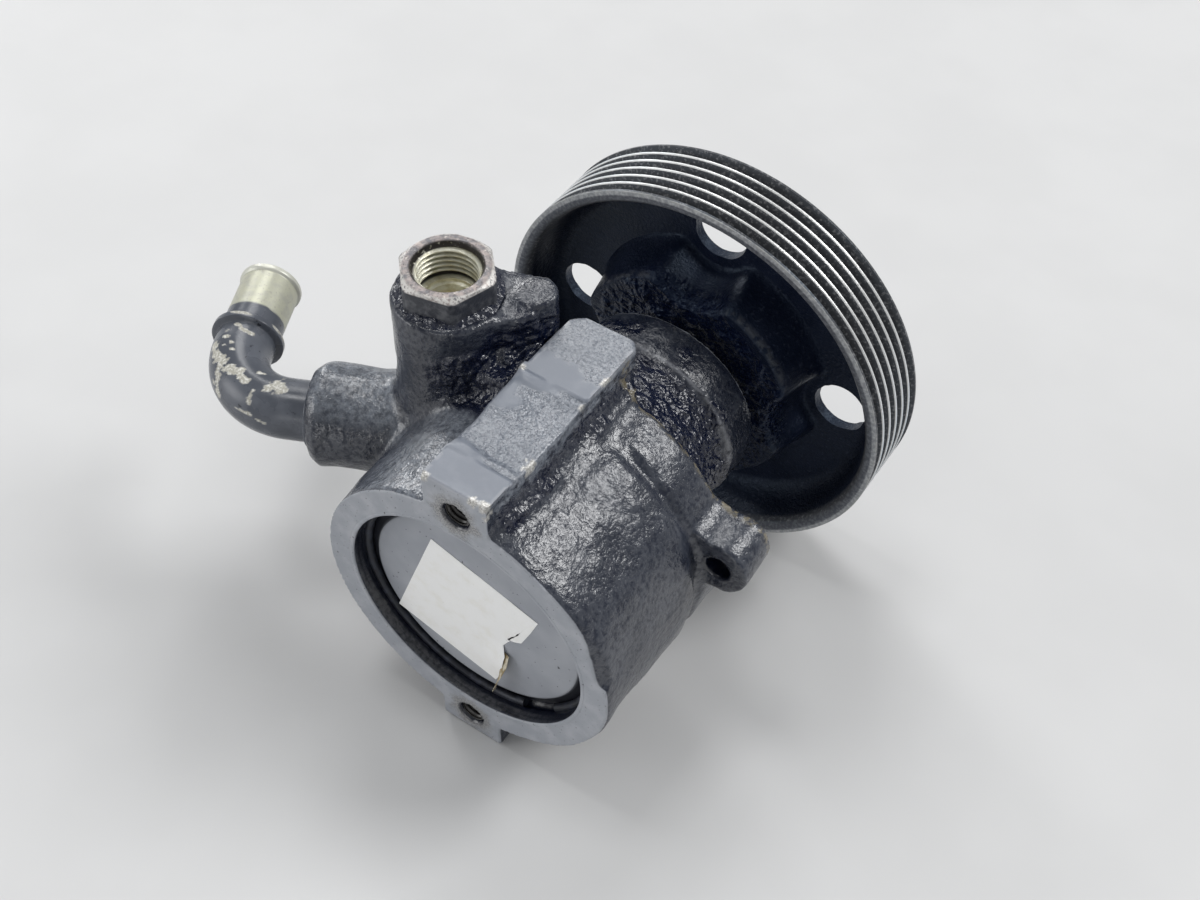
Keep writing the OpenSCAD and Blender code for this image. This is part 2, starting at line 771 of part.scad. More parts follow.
module rotor_retaining_ring()
    color([0.25, 0.25, 0.26])
    split_ring(clip_root_r + fit_gap, shaft_r + clip_proud,
        clip_ring_y, clip_ring_y + clip_ring_t, clip_split);

module dowel_pins()
    color([0.75, 0.75, 0.77])
    around(2, dowel_circle_r, dowel_angle)
        rod_y(dowel_r, plate_y + 1, chamber_y + dowel_sink - loose_gap);

plate_gap = 0.06;
plate_r = bore_r - plate_gap;
o_ring_d = 2.4;
o_ring_r = bore_r - fit_gap - o_ring_d / 2;
o_groove_r = o_ring_r - o_ring_d / 2 - fit_gap;
o_groove_w = o_ring_d + 0.3;

module o_groove(y_mid)
    turned([[o_groove_r, y_mid - o_groove_w / 2], [bore_r + eps, y_mid - o_groove_w / 2],
        [bore_r + eps, y_mid + o_groove_w / 2], [o_groove_r, y_mid + o_groove_w / 2]]);

module o_ring(y_mid)
    translate([0, y_mid, 0]) rotate([-90, 0, 0]) rotate_extrude()
        translate([o_ring_r, 0]) circle(d = o_ring_d, $fn = 32);

plate_bore_r = shaft_r + 1.4;

module pressure_plate()
    color([0.52, 0.52, 0.54])
    difference() {
        rod_y(plate_r, plate_y, ring_y);
        rod_y(plate_bore_r, plate_y - eps, ring_y + eps);
        for (a = [0, 180]) port(plate_y - eps, ring_y + eps, a + pressure_phase);
        dowel_holes(plate_y - eps, ring_y + eps);
        o_groove(plate_y + plate_t / 2);
    }

module pressure_plate_seal() color([0.08, 0.08, 0.08]) o_ring(plate_y + plate_t / 2);

module pressure_plate_spring() {
    dish_t = spring_space * 0.3;
    inner = plate_bore_r + 2;
    outer = (plate_bore_r + bore_r) / 2;
    low = space_y + 0.01;
    high = plate_y - 0.01;
    color([0.4, 0.42, 0.5])
    turned([[inner, high - dish_t], [outer - 1, low], [outer, low], [outer, low + dish_t],
        [inner + 1, high], [inner, high]]);
}

cover_slope_w = 3.3;
cover_flat_r = bore_r - cover_slope_w;
cover_shoulder_y = cover_y + 2.1;
cover_seal_y = space_y - 0.7 - o_groove_w / 2;

module end_cover()
    color([0.33, 0.34, 0.37])
    difference() {
        turned([[0, cover_y], [cover_flat_r - 0.6, cover_y], [cover_flat_r, cover_y + 0.5],
            [plate_r, cover_shoulder_y], [plate_r, space_y], [0, space_y]]);
        o_groove(cover_seal_y);
        rod_y(shaft_r + 1, space_y - 1.5, space_y + eps);
    }

module end_cover_seal() color([0.08, 0.08, 0.08]) o_ring(cover_seal_y);

module end_cover_retaining_ring() {
    split = 340;
    split_from_notch = 40;
    color([0.16, 0.16, 0.17])
    translate([0, ring_wire_y, 0]) rotate([-90, 0, 0]) rotate(notch_angle + split_from_notch)
        rotate_extrude(angle = split) translate([wire_circle_r, 0]) circle(d = wire_d, $fn = 32);
}

// Flow control valve

spool_r = valve_r - run_gap;
spool_bore_r = 4;
spool_neck_z = 13.5;
spool_waist_z = 3;
spool_waist = 2;
spool_nose_r = 3.8;
oil_groove_w = 0.8;
oil_groove_depth = 0.5;
relief_drain_r = 1.4;

module flow_control_spool()
    color([0.62, 0.62, 0.64])
    at_valve() difference() {
        union() {
            translate([0, 0, spool_foot_z]) cylinder(r = spool_r, h = spool_waist_z - spool_foot_z);
            translate([0, 0, spool_foot_z]) cylinder(r = spool_r - spool_waist, h = land_z - spool_foot_z);
            translate([0, 0, spool_neck_z]) cylinder(r = spool_r, h = land_z - spool_neck_z);
            translate([0, 0, land_z - eps]) cylinder(r = spool_nose_r, h = spool_nose_z - land_z + eps);
        }
        translate([0, 0, spool_foot_z - eps])
            cylinder(r = spool_bore_r, h = relief_seat_z - spool_foot_z + eps);
        translate([0, 0, relief_seat_z - eps]) cylinder(r = relief_seat_r, h = land_z);
        for (z = [spool_foot_z + 3, spool_foot_z + 6, spool_neck_z + 2.5, spool_neck_z + 5])
            translate([0, 0, z]) difference() {
                cylinder(r = spool_r + eps, h = oil_groove_w);
                translate([0, 0, -eps]) cylinder(r = spool_r - oil_groove_depth, h = 3 * eps);
            }
        translate([0, 0, spool_waist_z + 3]) rotate([90, 0, 0])
            cylinder(r = relief_drain_r, h = 4 * spool_r, center = true);
    }

spool_spring_r = spool_r - spring_wire / 2 - 0.9;

module flow_control_spring()
    color([0.35, 0.37, 0.42])
    at_valve() coil(spool_spring_r, spring_wire, -valve_depth + 0.02, spool_foot_z - 0.02, coil_turns);

relief_seat_z = 11;
relief_ball_r = relief_ball_d / 2;
relief_seat_r = relief_ball_r * 0.68;
relief_ball_gap = 0.03;
relief_ball_z = relief_seat_z - sqrt(pow(relief_ball_r, 2) - pow(relief_seat_r, 2)) - relief_ball_gap;
guide_z = relief_ball_z - relief_ball_r * 0.55;
guide_r = spool_bore_r - 0.25;
guide_t = 1.4;
guide_stem_r = 1.3;
guide_stem_l = 2;
guide_flute_r = 0.9;
guide_flutes = 3;

module relief_ball()
    color([0.8, 0.8, 0.82]) at_valve() translate([0, 0, relief_ball_z]) sphere(r = relief_ball_r);

module relief_ball_guide()
    color([0.6, 0.6, 0.62])
    at_valve() difference() {
        union() {
            translate([0, 0, guide_z - guide_t]) cylinder(r = guide_r, h = guide_t);
            translate([0, 0, guide_z - guide_t - guide_stem_l])
                cylinder(r = guide_stem_r, h = guide_stem_l + eps / 2);
        }
        translate([0, 0, relief_ball_z]) sphere(r = relief_ball_r + fit_gap);
        for (i = [0 : guide_flutes - 1])
            rotate(360 * i / guide_flutes) translate([guide_r, 0, guide_z - guide_t - eps])
                cylinder(r = guide_flute_r, h = guide_t + 2 * eps);
    }

relief_wire = 0.7;
relief_coil_r = 2.4;
relief_reserve = 4;
plug_top_z = guide_z - guide_t - coil_turns * relief_wire - relief_lift - relief_reserve;
plug_l = plug_top_z - spool_foot_z;

module relief_spring()
    color([0.4, 0.42, 0.46])
    at_valve() coil(relief_coil_r, relief_wire, plug_top_z + 0.02, guide_z - guide_t - 0.02, coil_turns);

module relief_plug()
    color([0.55, 0.55, 0.57])
    at_valve() translate([0, 0, spool_foot_z]) difference() {
        cylinder(r = spool_bore_r - fit_gap, h = plug_l);
        translate([0, 0, -eps]) cylinder(r = 0.7, h = plug_l + 2 * eps);
        translate([0, 0, -eps]) cylinder(r = 2, h = 2 + eps, $fn = 6);
    }

// Outlet union

module outlet_union() {
    hex_r = hex_af / sqrt(3);
    hex_turn = 12;
    hex_gap = 0.01;
    top_z = valve_top + hex_h;
    stem_r = valve_r - 2;
    thread_r = pipe_thread_d / 2;
    way_r = 3;
    cone_l = 4;
    cone_inset = 1.2;
    orifice_r = 1.5;
    sense_r = 1.1;
    color([0.42, 0.4, 0.38])
    at_valve() difference() {
        union() {
            intersection() {
                translate([0, 0, valve_top + hex_gap]) rotate(hex_turn)
                    cylinder(r = hex_r, h = hex_h - hex_gap, $fn = 6);
                translate([0, 0, valve_top]) rotate_extrude()
                    polygon([[0, 0], [hex_r - 0.5, 0], [hex_r + 0.1, 0.6], [hex_r + 0.1, hex_h - 1],
                        [hex_r - 1.4, hex_h], [0, hex_h]]);
            }
            translate([0, 0, union_seat_z]) cylinder(r = union_r, h = valve_top - union_seat_z + eps);
            translate([0, 0, union_stem_z]) cylinder(r = stem_r, h = union_seat_z - union_stem_z + eps);
        }
        translate([0, 0, top_z - pipe_thread_l]) cylinder(r = thread_r, h = pipe_thread_l + eps);
        translate([0, 0, top_z - 0.8]) cylinder(r1 = thread_r, r2 = thread_r + 1, h = 1);
        translate([0, 0, top_z - pipe_thread_l - cone_l])
            cylinder(r1 = way_r, r2 = thread_r - cone_inset, h = cone_l + 0.001);
        translate([0, 0, union_stem_z + cone_l])
            cylinder(r = way_r, h = top_z - union_stem_z - pipe_thread_l - cone_l);
        translate([0, 0, union_stem_z - eps]) cylinder(r = orifice_r, h = 2 * cone_l);
        translate([0, 0, union_stem_z + 6]) rotate([0, 90, 0])
            cylinder(r = sense_r, h = 4 * stem_r, center = true);
    }
}

module outlet_union_seal()
    color([0.08, 0.08, 0.08])
    at_valve() translate([0, 0, valve_top - union_seal_d / 2]) rotate_extrude()
        translate([union_r + union_seal_d / 2 + 0.05, 0]) circle(d = union_seal_d - 0.02, $fn = 32);

// Suction tube

bead_r = tube_r + 1.2;
collar_w = 2.6;
collar_r = tube_r + 1.8;
collar_from_bend = 3;
bend_swell = 0.1;
bend_lap = 1;
end_bead_w = 2;
end_bead_rise = 0.6;
stop_bead_w = 1.6;

// Straight and bent solid of the tube's centre line, at one radius
module tube_core(r, x0, tail) {
    rod_inlet(r, x0, inlet_reach + tube_lead + bend_lap);
    translate([inlet_reach + tube_lead, -bend_r, 0]) rotate([0, 0, 90 - bend_angle])
        rotate_extrude(angle = bend_angle) translate([bend_r, 0]) circle(r = r + bend_swell);
    at_bend_end() rod_inlet(r, -bend_lap, tail);
}

// Frame after the bend: +X runs on along the spigot
module at_bend_end()
    translate([inlet_reach + tube_lead, -bend_r, 0]) rotate([0, 0, -bend_angle])
        translate([0, bend_r, 0]) children();

module suction_tube()
    color([0.09, 0.095, 0.11])
    at_inlet() difference() {
        union() {
            tube_core(tube_r, inlet_reach - tube_seat + loose_gap, spigot_l);
            rod_inlet(bead_r, inlet_reach + fit_gap, inlet_reach + stop_bead_w);
            at_bend_end() {
                rod_inlet(collar_r, collar_from_bend, collar_from_bend + collar_w);
                rod_inlet(tube_r + end_bead_rise, spigot_l - end_bead_w, spigot_l);
            }
        }
        tube_core(tube_r - tube_wall, inlet_reach - tube_seat - eps, spigot_l + eps);
    }

pump_housing();
drive_shaft();
shaft_bush();
shaft_seal();
bearing_outer_race();
bearing_inner_race();
bearing_balls();
bearing_cage();
bearing_retaining_ring();
pulley();
thrust_plate();
cam_ring();
rotor();
vanes();
rotor_retaining_ring();
dowel_pins();
pressure_plate();
pressure_plate_seal();
pressure_plate_spring();
end_cover();
end_cover_seal();
end_cover_retaining_ring();
flow_control_spool();
flow_control_spring();
relief_ball();
relief_ball_guide();
relief_spring();
relief_plug();
outlet_union();
outlet_union_seal();
suction_tube();
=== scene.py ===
"""Looks of a vane-type power steering pump: cast housing, belt pulley, outlet union and suction tube."""
import math
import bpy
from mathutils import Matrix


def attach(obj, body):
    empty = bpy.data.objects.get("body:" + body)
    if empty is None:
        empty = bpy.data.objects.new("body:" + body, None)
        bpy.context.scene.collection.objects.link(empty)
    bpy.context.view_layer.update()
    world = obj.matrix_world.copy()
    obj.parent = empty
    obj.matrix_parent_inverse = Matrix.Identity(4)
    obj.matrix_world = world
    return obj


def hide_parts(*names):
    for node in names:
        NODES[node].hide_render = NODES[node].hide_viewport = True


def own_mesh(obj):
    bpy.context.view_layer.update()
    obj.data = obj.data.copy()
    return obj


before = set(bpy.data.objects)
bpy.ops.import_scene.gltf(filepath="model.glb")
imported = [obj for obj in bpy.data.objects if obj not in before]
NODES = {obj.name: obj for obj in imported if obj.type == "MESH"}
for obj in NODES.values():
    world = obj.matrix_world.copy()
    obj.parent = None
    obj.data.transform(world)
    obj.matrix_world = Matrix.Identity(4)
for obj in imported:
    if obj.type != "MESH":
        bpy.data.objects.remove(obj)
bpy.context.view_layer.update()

from types import SimpleNamespace

import bmesh
import bpy
import numpy as np
from mathutils import Matrix, Vector

MM = 0.001

# Sizes of the part in millimetres, as its solids have them
REAR_Y = 0.0
BODY_L = 54.5
BORE_R = 33.8
RAIL_HALF = 9.3
RAIL_TOP = 50.5
REAR_PAD_END = 10.0
FRONT_PAD_START = 38.0
RECESS_DEPTH = 1.6
GROOVE_Y = 40.0
NOSE_R = 26.8
NOSE_Y = 91.0
WAIST_END = 79.0
COVER_Y = 5.0
VALVE_AXIS = (-33.5, 43.0)
VALVE_TOP = 58.0
REAR_HOLE_Z = 41.6
REAR_HOLE_R = 3.4
REAR_HOLE_MOUTH_R = REAR_HOLE_R + 0.9
REAR_HOLE_DEPTH = 18.0
EAR_AXIS = (44.6, 9.48)
EAR_HOLE_R = 3.4

# Bounds a little past the pump chamber, the shaft and valve bores and the end of the rail
CHAMBER_BOUND = 34.0
SHAFT_BOUND_R = 22.5
VALVE_BOUND_R = 10.4
VALVE_BOUND_LOW = -25.0
RAIL_BOUND = 62.0


# Mesh helpers

def add_object(name, data):
    """A new object in the scene."""
    obj = bpy.data.objects.new(name, data)
    bpy.context.scene.collection.objects.link(obj)
    return obj


def new_object(name, verts, faces):
    """A mesh object from points in millimetres."""
    mesh = bpy.data.meshes.new(name)
    mesh.from_pydata([Vector(v) * MM for v in verts], [], faces)
    return add_object(name, mesh)


def coat(mesh, material):
    """Gives the mesh one material."""
    mesh.materials.clear()
    mesh.materials.append(material)


def finished(obj, angle, material):
    """The object with its material and smooth shading, where edges sharper than the angle stay."""
    mesh = obj.data
    mesh.polygons.foreach_set("use_smooth", [True] * len(mesh.polygons))
    mesh.set_sharp_from_angle(angle=math.radians(angle))
    mesh.update()
    coat(mesh, material)
    return obj


def apply_modifiers(obj):
    """Makes the mesh what its modifiers give."""
    graph = bpy.context.evaluated_depsgraph_get()
    mesh = bpy.data.meshes.new_from_object(obj.evaluated_get(graph))
    obj.modifiers.clear()
    old = obj.data
    obj.data = mesh
    bpy.data.meshes.remove(old)


def thicken(obj, thickness):
    """Gives a sheet a thickness in millimetres."""
    thick = obj.modifiers.new("thick", "SOLIDIFY")
    thick.thickness = thickness * MM
    thick.offset = 0.0
    apply_modifiers(obj)


def ring_solid(name, rings):
    """A closed mesh of equal rings of points, the last one joined to the first."""
    count = len(rings[0])
    faces = []
    for i in range(len(rings)):
        a, b = i * count, (i + 1) % len(rings) * count
        faces += [(a + k, a + (k + 1) % count, b + (k + 1) % count, b + k) for k in range(count)]
    obj = new_object(name, [p for ring in rings for p in ring], faces)
    bm = bmesh.new()
    bm.from_mesh(obj.data)
    bmesh.ops.recalc_face_normals(bm, faces=bm.faces)
    bm.to_mesh(obj.data)
    bm.free()
    return obj


def turns(count):
    """That many equal angles of a full turn."""
    return np.linspace(0, 2 * math.pi, count, endpoint=False)


def ring_y(radii, y, z=0.0):
    """Points at those radii round an axis along Y."""
    return [(r * math.cos(a), y, z + r * math.sin(a)) for r, a in zip(radii, turns(len(radii)))]


def valve_ring(radii, z):
    """Points at those radii round the upright axis of the valve."""
    return [(VALVE_AXIS[0] + r * math.cos(a), VALVE_AXIS[1] + r * math.sin(a), z)
            for r, a in zip(radii, turns(len(radii)))]


HASH = np.array([73856093, 19349663, 83492791])


def value_noise(points, size, seed):
    """Smooth noise from -1 to 1 at points, with lumps of about that size."""
    p = points / size + 17.13 * seed
    cell = np.floor(p).astype(np.int64)
    f = p - cell
    f = f * f * (3 - 2 * f)
    total = np.zeros(len(points))
    for corner in np.ndindex(2, 2, 2):
        h = np.bitwise_xor.reduce((cell + corner) * HASH, axis=1)
        h = ((h ^ (h >> 13)) * 1274126177) & 0x7FFFFFFF
        total += np.prod(np.where(corner, f, 1 - f), axis=1) * (h / 0x3FFFFFFF - 1)
    return total


def ramp(values, low, high):
    """Smooth step from 0 at low to 1 at high."""
    t = np.clip((values - low) / (high - low), 0, 1)
    return t * t * (3 - 2 * t)


def vertex_points(mesh):
    """Vertex places in millimetres."""
    co = np.empty(len(mesh.vertices) * 3)
    mesh.vertices.foreach_get("co", co)
    return co.reshape(-1, 3) / MM


def set_points(mesh, points):
    """Moves the vertices to places in millimetres."""
    mesh.vertices.foreach_set("co", (points * MM).ravel())
    mesh.update()


def vertex_normals(mesh):
    normals = np.empty(len(mesh.vertices) * 3)
    mesh.vertex_normals.foreach_get("vector", normals)
    return normals.reshape(-1, 3)


def set_masks(mesh, **masks):
    """Stores numbers per vertex that a material can read by their names."""
    for name, values in masks.items():
        layer = mesh.attributes.new(name, "FLOAT", "POINT")
        layer.data.foreach_set("value", np.clip(values, 0, 1).astype(np.float32))


class Neighbours:
    """Means over the vertices that share an edge."""

    def __init__(self, mesh):
        edges = np.empty(len(mesh.edges) * 2, int)
        mesh.edges.foreach_get("vertices", edges)
        self.a, self.b = edges.reshape(-1, 2).T
        self.n = len(mesh.vertices)
        self.degree = np.maximum(np.bincount(edges, minlength=self.n), 1)

    def mean(self, values):
        if values.ndim == 1:
            total = np.bincount(self.a, values[self.b], self.n) + np.bincount(self.b, values[self.a], self.n)
            return total / self.degree
        return np.stack([self.mean(values[:, c]) for c in range(values.shape[1])], 1)

    def hollow(self, points, normal):
        """How deep each point lies among its neighbours; below 0 where it stands out."""
        return np.einsum("ij,ij->i", self.mean(points) - points, normal)


# Materials

class Paint:
    """A principled material and short calls for the nodes that feed it."""

    def __init__(self, name, color=(0.5, 0.5, 0.5), roughness=0.5, metallic=0.0):
        self.material = bpy.data.materials.new(name)
        self.material.use_nodes = True
        self.tree = self.material.node_tree
        self.tree.nodes.clear()
        output = self.node("ShaderNodeOutputMaterial")
        self.surface = self.node("ShaderNodeBsdfPrincipled")
        self.tree.links.new(self.surface.outputs[0], output.inputs[0])
        self.set("Base Color", color)
        self.set("Roughness", roughness)
        self.set("Metallic", metallic)
        self.place = self.node("ShaderNodeTexCoord").outputs["Object"]

    def node(self, kind, **values):
        made = self.tree.nodes.new(kind)
        for key, value in values.items():
            setattr(made, key, value)
        return made

    def feed(self, socket, value):
        """Links a node's output to a socket, or sets a plain number or colour on it."""
        if isinstance(value, bpy.types.NodeSocket):
            self.tree.links.new(value, socket)
        elif isinstance(value, tuple) and len(value) == 3 and socket.type == "RGBA":
            socket.default_value = (*value, 1)
        else:
            socket.default_value = value

    def set(self, name, value):
        self.feed(self.surface.inputs[name], value)

    def noise(self, size, detail=3.0, roughness=0.55, seed=0.0):
        """Noise from 0 to 1 with lumps of about size millimetres."""
        mapping = self.node("ShaderNodeMapping")
        self.feed(mapping.inputs["Vector"], self.place)
        mapping.inputs["Location"].default_value = (seed, seed * 0.7, seed * 1.3)
        made = self.node("ShaderNodeTexNoise")
        self.feed(made.inputs["Vector"], mapping.outputs[0])
        made.inputs["Scale"].default_value = 1 / (size * MM)
        made.inputs["Detail"].default_value = detail
        made.inputs["Roughness"].default_value = roughness
        return made.outputs["Fac"]

    def span(self, value, low, high, start=0.0, end=1.0):
        """Maps low to high onto start to end, held at both ends."""
        made = self.node("ShaderNodeMapRange", interpolation_type="SMOOTHSTEP")
        self.feed(made.inputs["Value"], value)
        for name, number in zip(("From Min", "From Max", "To Min", "To Max"), (low, high, start, end)):
            made.inputs[name].default_value = number
        return made.outputs["Result"]

    def math(self, kind, a, b=0.0):
        made = self.node("ShaderNodeMath", operation=kind)
        self.feed(made.inputs[0], a)
        self.feed(made.inputs[1], b)
        return made.outputs[0]

    def times(self, first, *others):
        """Product of the values."""
        for other in others:
            first = self.math("MULTIPLY", first, other)
        return first

    def plus(self, a, b):
        return self.math("ADD", a, b)

    def minus(self, a, b):
        return self.math("SUBTRACT", a, b)

    def most(self, a, b):
        return self.math("MAXIMUM", a, b)

    def length(self, a, b):
        """Length of a step with those two sides."""
        return self.math("SQRT", self.plus(self.times(a, a), self.times(b, b)))

    def mix(self, share, a, b):
        """Colour a where share is 0 and colour b where it is 1."""
        made = self.node("ShaderNodeMix", data_type="RGBA")
        self.feed(made.inputs["Factor"], share)
        colours = [s for s in made.inputs if s.type == "RGBA"]
        self.feed(colours[0], a)
        self.feed(colours[1], b)
        return next(s for s in made.outputs if s.type == "RGBA")

    def blend(self, share, a, b):
        """Number a where share is 0 and number b where it is 1."""
        made = self.node("ShaderNodeMix", data_type="FLOAT")
        floats = [s for s in made.inputs if s.type == "VALUE"]
        for socket, value in zip(floats, (share, a, b)):
            self.feed(socket, value)
        return next(s for s in made.outputs if s.type == "VALUE")

    def mask(self, name):
        return self.node("ShaderNodeAttribute", attribute_name=name).outputs["Fac"]

    def axis(self, letter):
        """One coordinate of the place, in millimetres."""
        made = self.node("ShaderNodeSeparateXYZ")
        self.feed(made.inputs[0], self.place)
        return self.math("DIVIDE", made.outputs[letter], MM)

    def bump(self, height, depth, strength=1.0, under=None):
        """Surface relief of that depth in millimetres."""
        made = self.node("ShaderNodeBump")
        self.feed(made.inputs["Height"], height)
        self.feed(made.inputs["Strength"], strength)
        made.inputs["Distance"].default_value = depth * MM
        if under is not None:
            self.feed(made.inputs["Normal"], under)
        self.set("Normal", made.outputs[0])
        return made.outputs[0]


def cast_paint():
    """Glossy black paint over a hammered casting: oil-wet grime, greyer flat faces and bare chips, with dust
    and painted sheen on up-facing faces, painted shade in the bores, pits and creases, painted glints and a
    painted highlight on the nose edge.
    """
    p = Paint("cast_paint")
    x, y, z = (p.axis(letter) for letter in "XYZ")
    grime, chip, edge = (p.mask(m) for m in ("grime", "chip", "edge"))
    broad, pebble, fine = p.noise(11, 3), p.noise(1.25, 2.5, 0.5), p.noise(0.45, 2)
    # Places: the rear bore, its walls painted near black as painted shade, the flat rear and nose faces, the
    # rail with its two pads and its side
    bore_shade = p.times(p.span(p.length(x, z), BORE_R + 0.6, BORE_R + 0.4), p.span(y, 0.6, 1.0))
    bore = p.most(p.mask("bore"), p.times(bore_shade, p.span(y, CHAMBER_BOUND, CHAMBER_BOUND - 1)))
    rear = p.span(y, REAR_Y + 0.5, REAR_Y + 0.2)
    nose = p.span(y, NOSE_Y - 0.6, NOSE_Y - 0.3)
    across = p.span(p.math("ABSOLUTE", x), RAIL_HALF + 0.4, RAIL_HALF + 0.1)
    rail = p.times(p.span(z, RAIL_TOP - 2.2, RAIL_TOP - 1.4), across)
    wavy_z = p.plus(z, p.times(p.minus(p.noise(4, 4), 0.5), 0.9))
    ragged_y = p.plus(y, p.times(p.noise(6, 4), 14))
    smooth_pad = p.times(p.span(wavy_z, RAIL_TOP - 0.45, RAIL_TOP - 0.2), across, p.span(ragged_y, 53, 50.5))
    side = p.times(p.span(x, RAIL_HALF + 1.2, RAIL_HALF + 0.7), p.span(x, RAIL_HALF - 1, RAIL_HALF - 0.4))
    side = p.times(side, p.span(z, RAIL_TOP - 7, RAIL_TOP - 5), p.span(y, RAIL_BOUND, RAIL_BOUND - 1))
    # Colours, from the paint up to the chips
    paint = p.mix(p.span(broad, 0.35, 0.68), (0.014, 0.018, 0.031), (0.032, 0.038, 0.055))
    # Painted shade: the pits of the hammered relief are painted darker
    paint = p.mix(p.times(p.span(pebble, 0.5, 0.36), 0.6), paint, (0.004, 0.007, 0.02))
    # Painted glints: pale specks over the paint stand in for highlights on the hammered relief
    specks = p.span(p.noise(0.9, 3, seed=0.6), 0.57, 0.68)
    paint = p.mix(p.times(specks, 0.35), paint, (0.085, 0.093, 0.112))
    # Up-facing faces, most on the left, turn pale grey: dust and painted sheen
    dust = p.times(p.mask("dusty"), p.span(p.noise(1.7, 6, 0.7), 0.36, 0.62, 0.3, 1.0))
    paint = p.mix(dust, paint, p.mix(p.span(fine, 0.4, 0.7), (0.18, 0.20, 0.235), (0.27, 0.29, 0.32)))
    slate = p.mix(p.span(p.noise(6, 4), 0.4, 0.7), (0.155, 0.175, 0.215), (0.185, 0.205, 0.245))
    # The rail's top and its right side are painted a paler grey: dust and painted sheen
    dust_and_sheen_slate = p.mix(p.span(p.noise(0.8, 3, 0.6), 0.38, 0.6), (0.105, 0.12, 0.15), (0.195, 0.215, 0.25))
    colour = p.mix(rail, paint, dust_and_sheen_slate)
    colour = p.mix(p.times(side, p.span(p.noise(2.5, 4, 0.6), 0.36, 0.6)), colour, dust_and_sheen_slate)
    colour = p.mix(smooth_pad, colour, slate)
    flat = p.mix(p.span(p.noise(6, 4), 0.4, 0.7), (0.30, 0.318, 0.355), (0.38, 0.395, 0.43))
    flat = p.mix(p.span(p.noise(0.9, 2), 0.65, 0.71), flat, (0.07, 0.07, 0.08))
    from_hole = p.length(x, p.minus(p.math("ABSOLUTE", z), REAR_HOLE_Z))
    from_hole = p.plus(from_hole, p.times(p.noise(3, 5, 0.65), 8))
    scuffed = p.mix(p.span(fine, 0.4, 0.66), (0.11, 0.108, 0.108), (0.40, 0.39, 0.375))
    flat = p.mix(p.times(p.span(from_hole, 12, 8.5), 0.8), flat, scuffed)
    colour = p.mix(rear, colour, flat)
    colour = p.mix(nose, colour, flat)
    dirt = p.mix(p.span(fine, 0.52, 0.74), (0.003, 0.006, 0.022), (0.018, 0.023, 0.045))
    colour = p.mix(grime, colour, dirt)
    # Rubbed paint on the rail's edges, and a painted highlight on the nose ring's rear edge
    rubbed_and_highlit = p.times(edge, p.span(p.noise(2.4, 3, seed=0.2), 0.36, 0.5))
    colour = p.mix(p.times(rubbed_and_highlit, 0.8), colour, (0.36, 0.37, 0.40))
    # Painted shade: the walls of the bores are painted near black
    colour = p.mix(bore, colour, (0.003, 0.005, 0.014))
    sealant = p.times(p.mask("sealant"), p.span(p.noise(1.6, 4), 0.45, 0.58))
    colour = p.mix(p.times(sealant, 0.7), colour, (0.22, 0.19, 0.125))
    colour = p.mix(chip, colour, p.mix(p.span(fine, 0.35, 0.65), (0.32, 0.31, 0.29), (0.68, 0.67, 0.64)))
    p.set("Base Color", colour)
    # Gloss and relief
    satin = p.most(rear, smooth_pad)
    gloss = p.blend(satin, p.span(broad, 0.3, 0.7, 0.20, 0.30), 0.42)
    gloss = p.blend(grime, gloss, p.span(fine, 0.3, 0.7, 0.14, 0.36))
    p.set("Roughness", p.blend(chip, p.blend(bore, gloss, 0.25), 0.4))
    p.set("Metallic", p.times(chip, 0.4))
    # The specular level drops in the pits of the relief, as painted shade
    p.set("Specular IOR Level", p.blend(p.most(satin, rail), p.span(pebble, 0.36, 0.58, 0.5, 0.92), 0.8))
    first = p.bump(p.plus(pebble, p.times(fine, 0.3)), 0.27, p.blend(p.most(satin, bore), 0.9, 0.08))
    p.bump(p.noise(2.1, 1.5, 0.5, seed=0.4), 1.7, p.times(grime, 0.95), under=first)
    return p.material


def metal(name, color, roughness):
    """Machined or drawn metal with fine lines and light stains."""
    p = Paint(name, color, roughness, 1.0)
    lines = p.noise(0.5, 2)
    p.set("Base Color", p.mix(p.span(p.noise(5, 4), 0.45, 0.75), color, tuple(c * 0.6 for c in color)))
    p.set("Roughness", p.span(lines, 0.3, 0.7, roughness * 0.8, roughness * 1.3))
    p.bump(lines, 0.02, 0.4)
    return p.material


def rubber():
    """Black seal rubber with faint specks."""
    p = Paint("seal_rubber", roughness=0.55)
    speck = p.noise(0.7, 3)
    p.set("Base Color", p.mix(p.span(speck, 0.5, 0.8), (0.016, 0.016, 0.018), (0.045, 0.045, 0.048)))
    p.bump(speck, 0.03, 0.5)
    return p.material


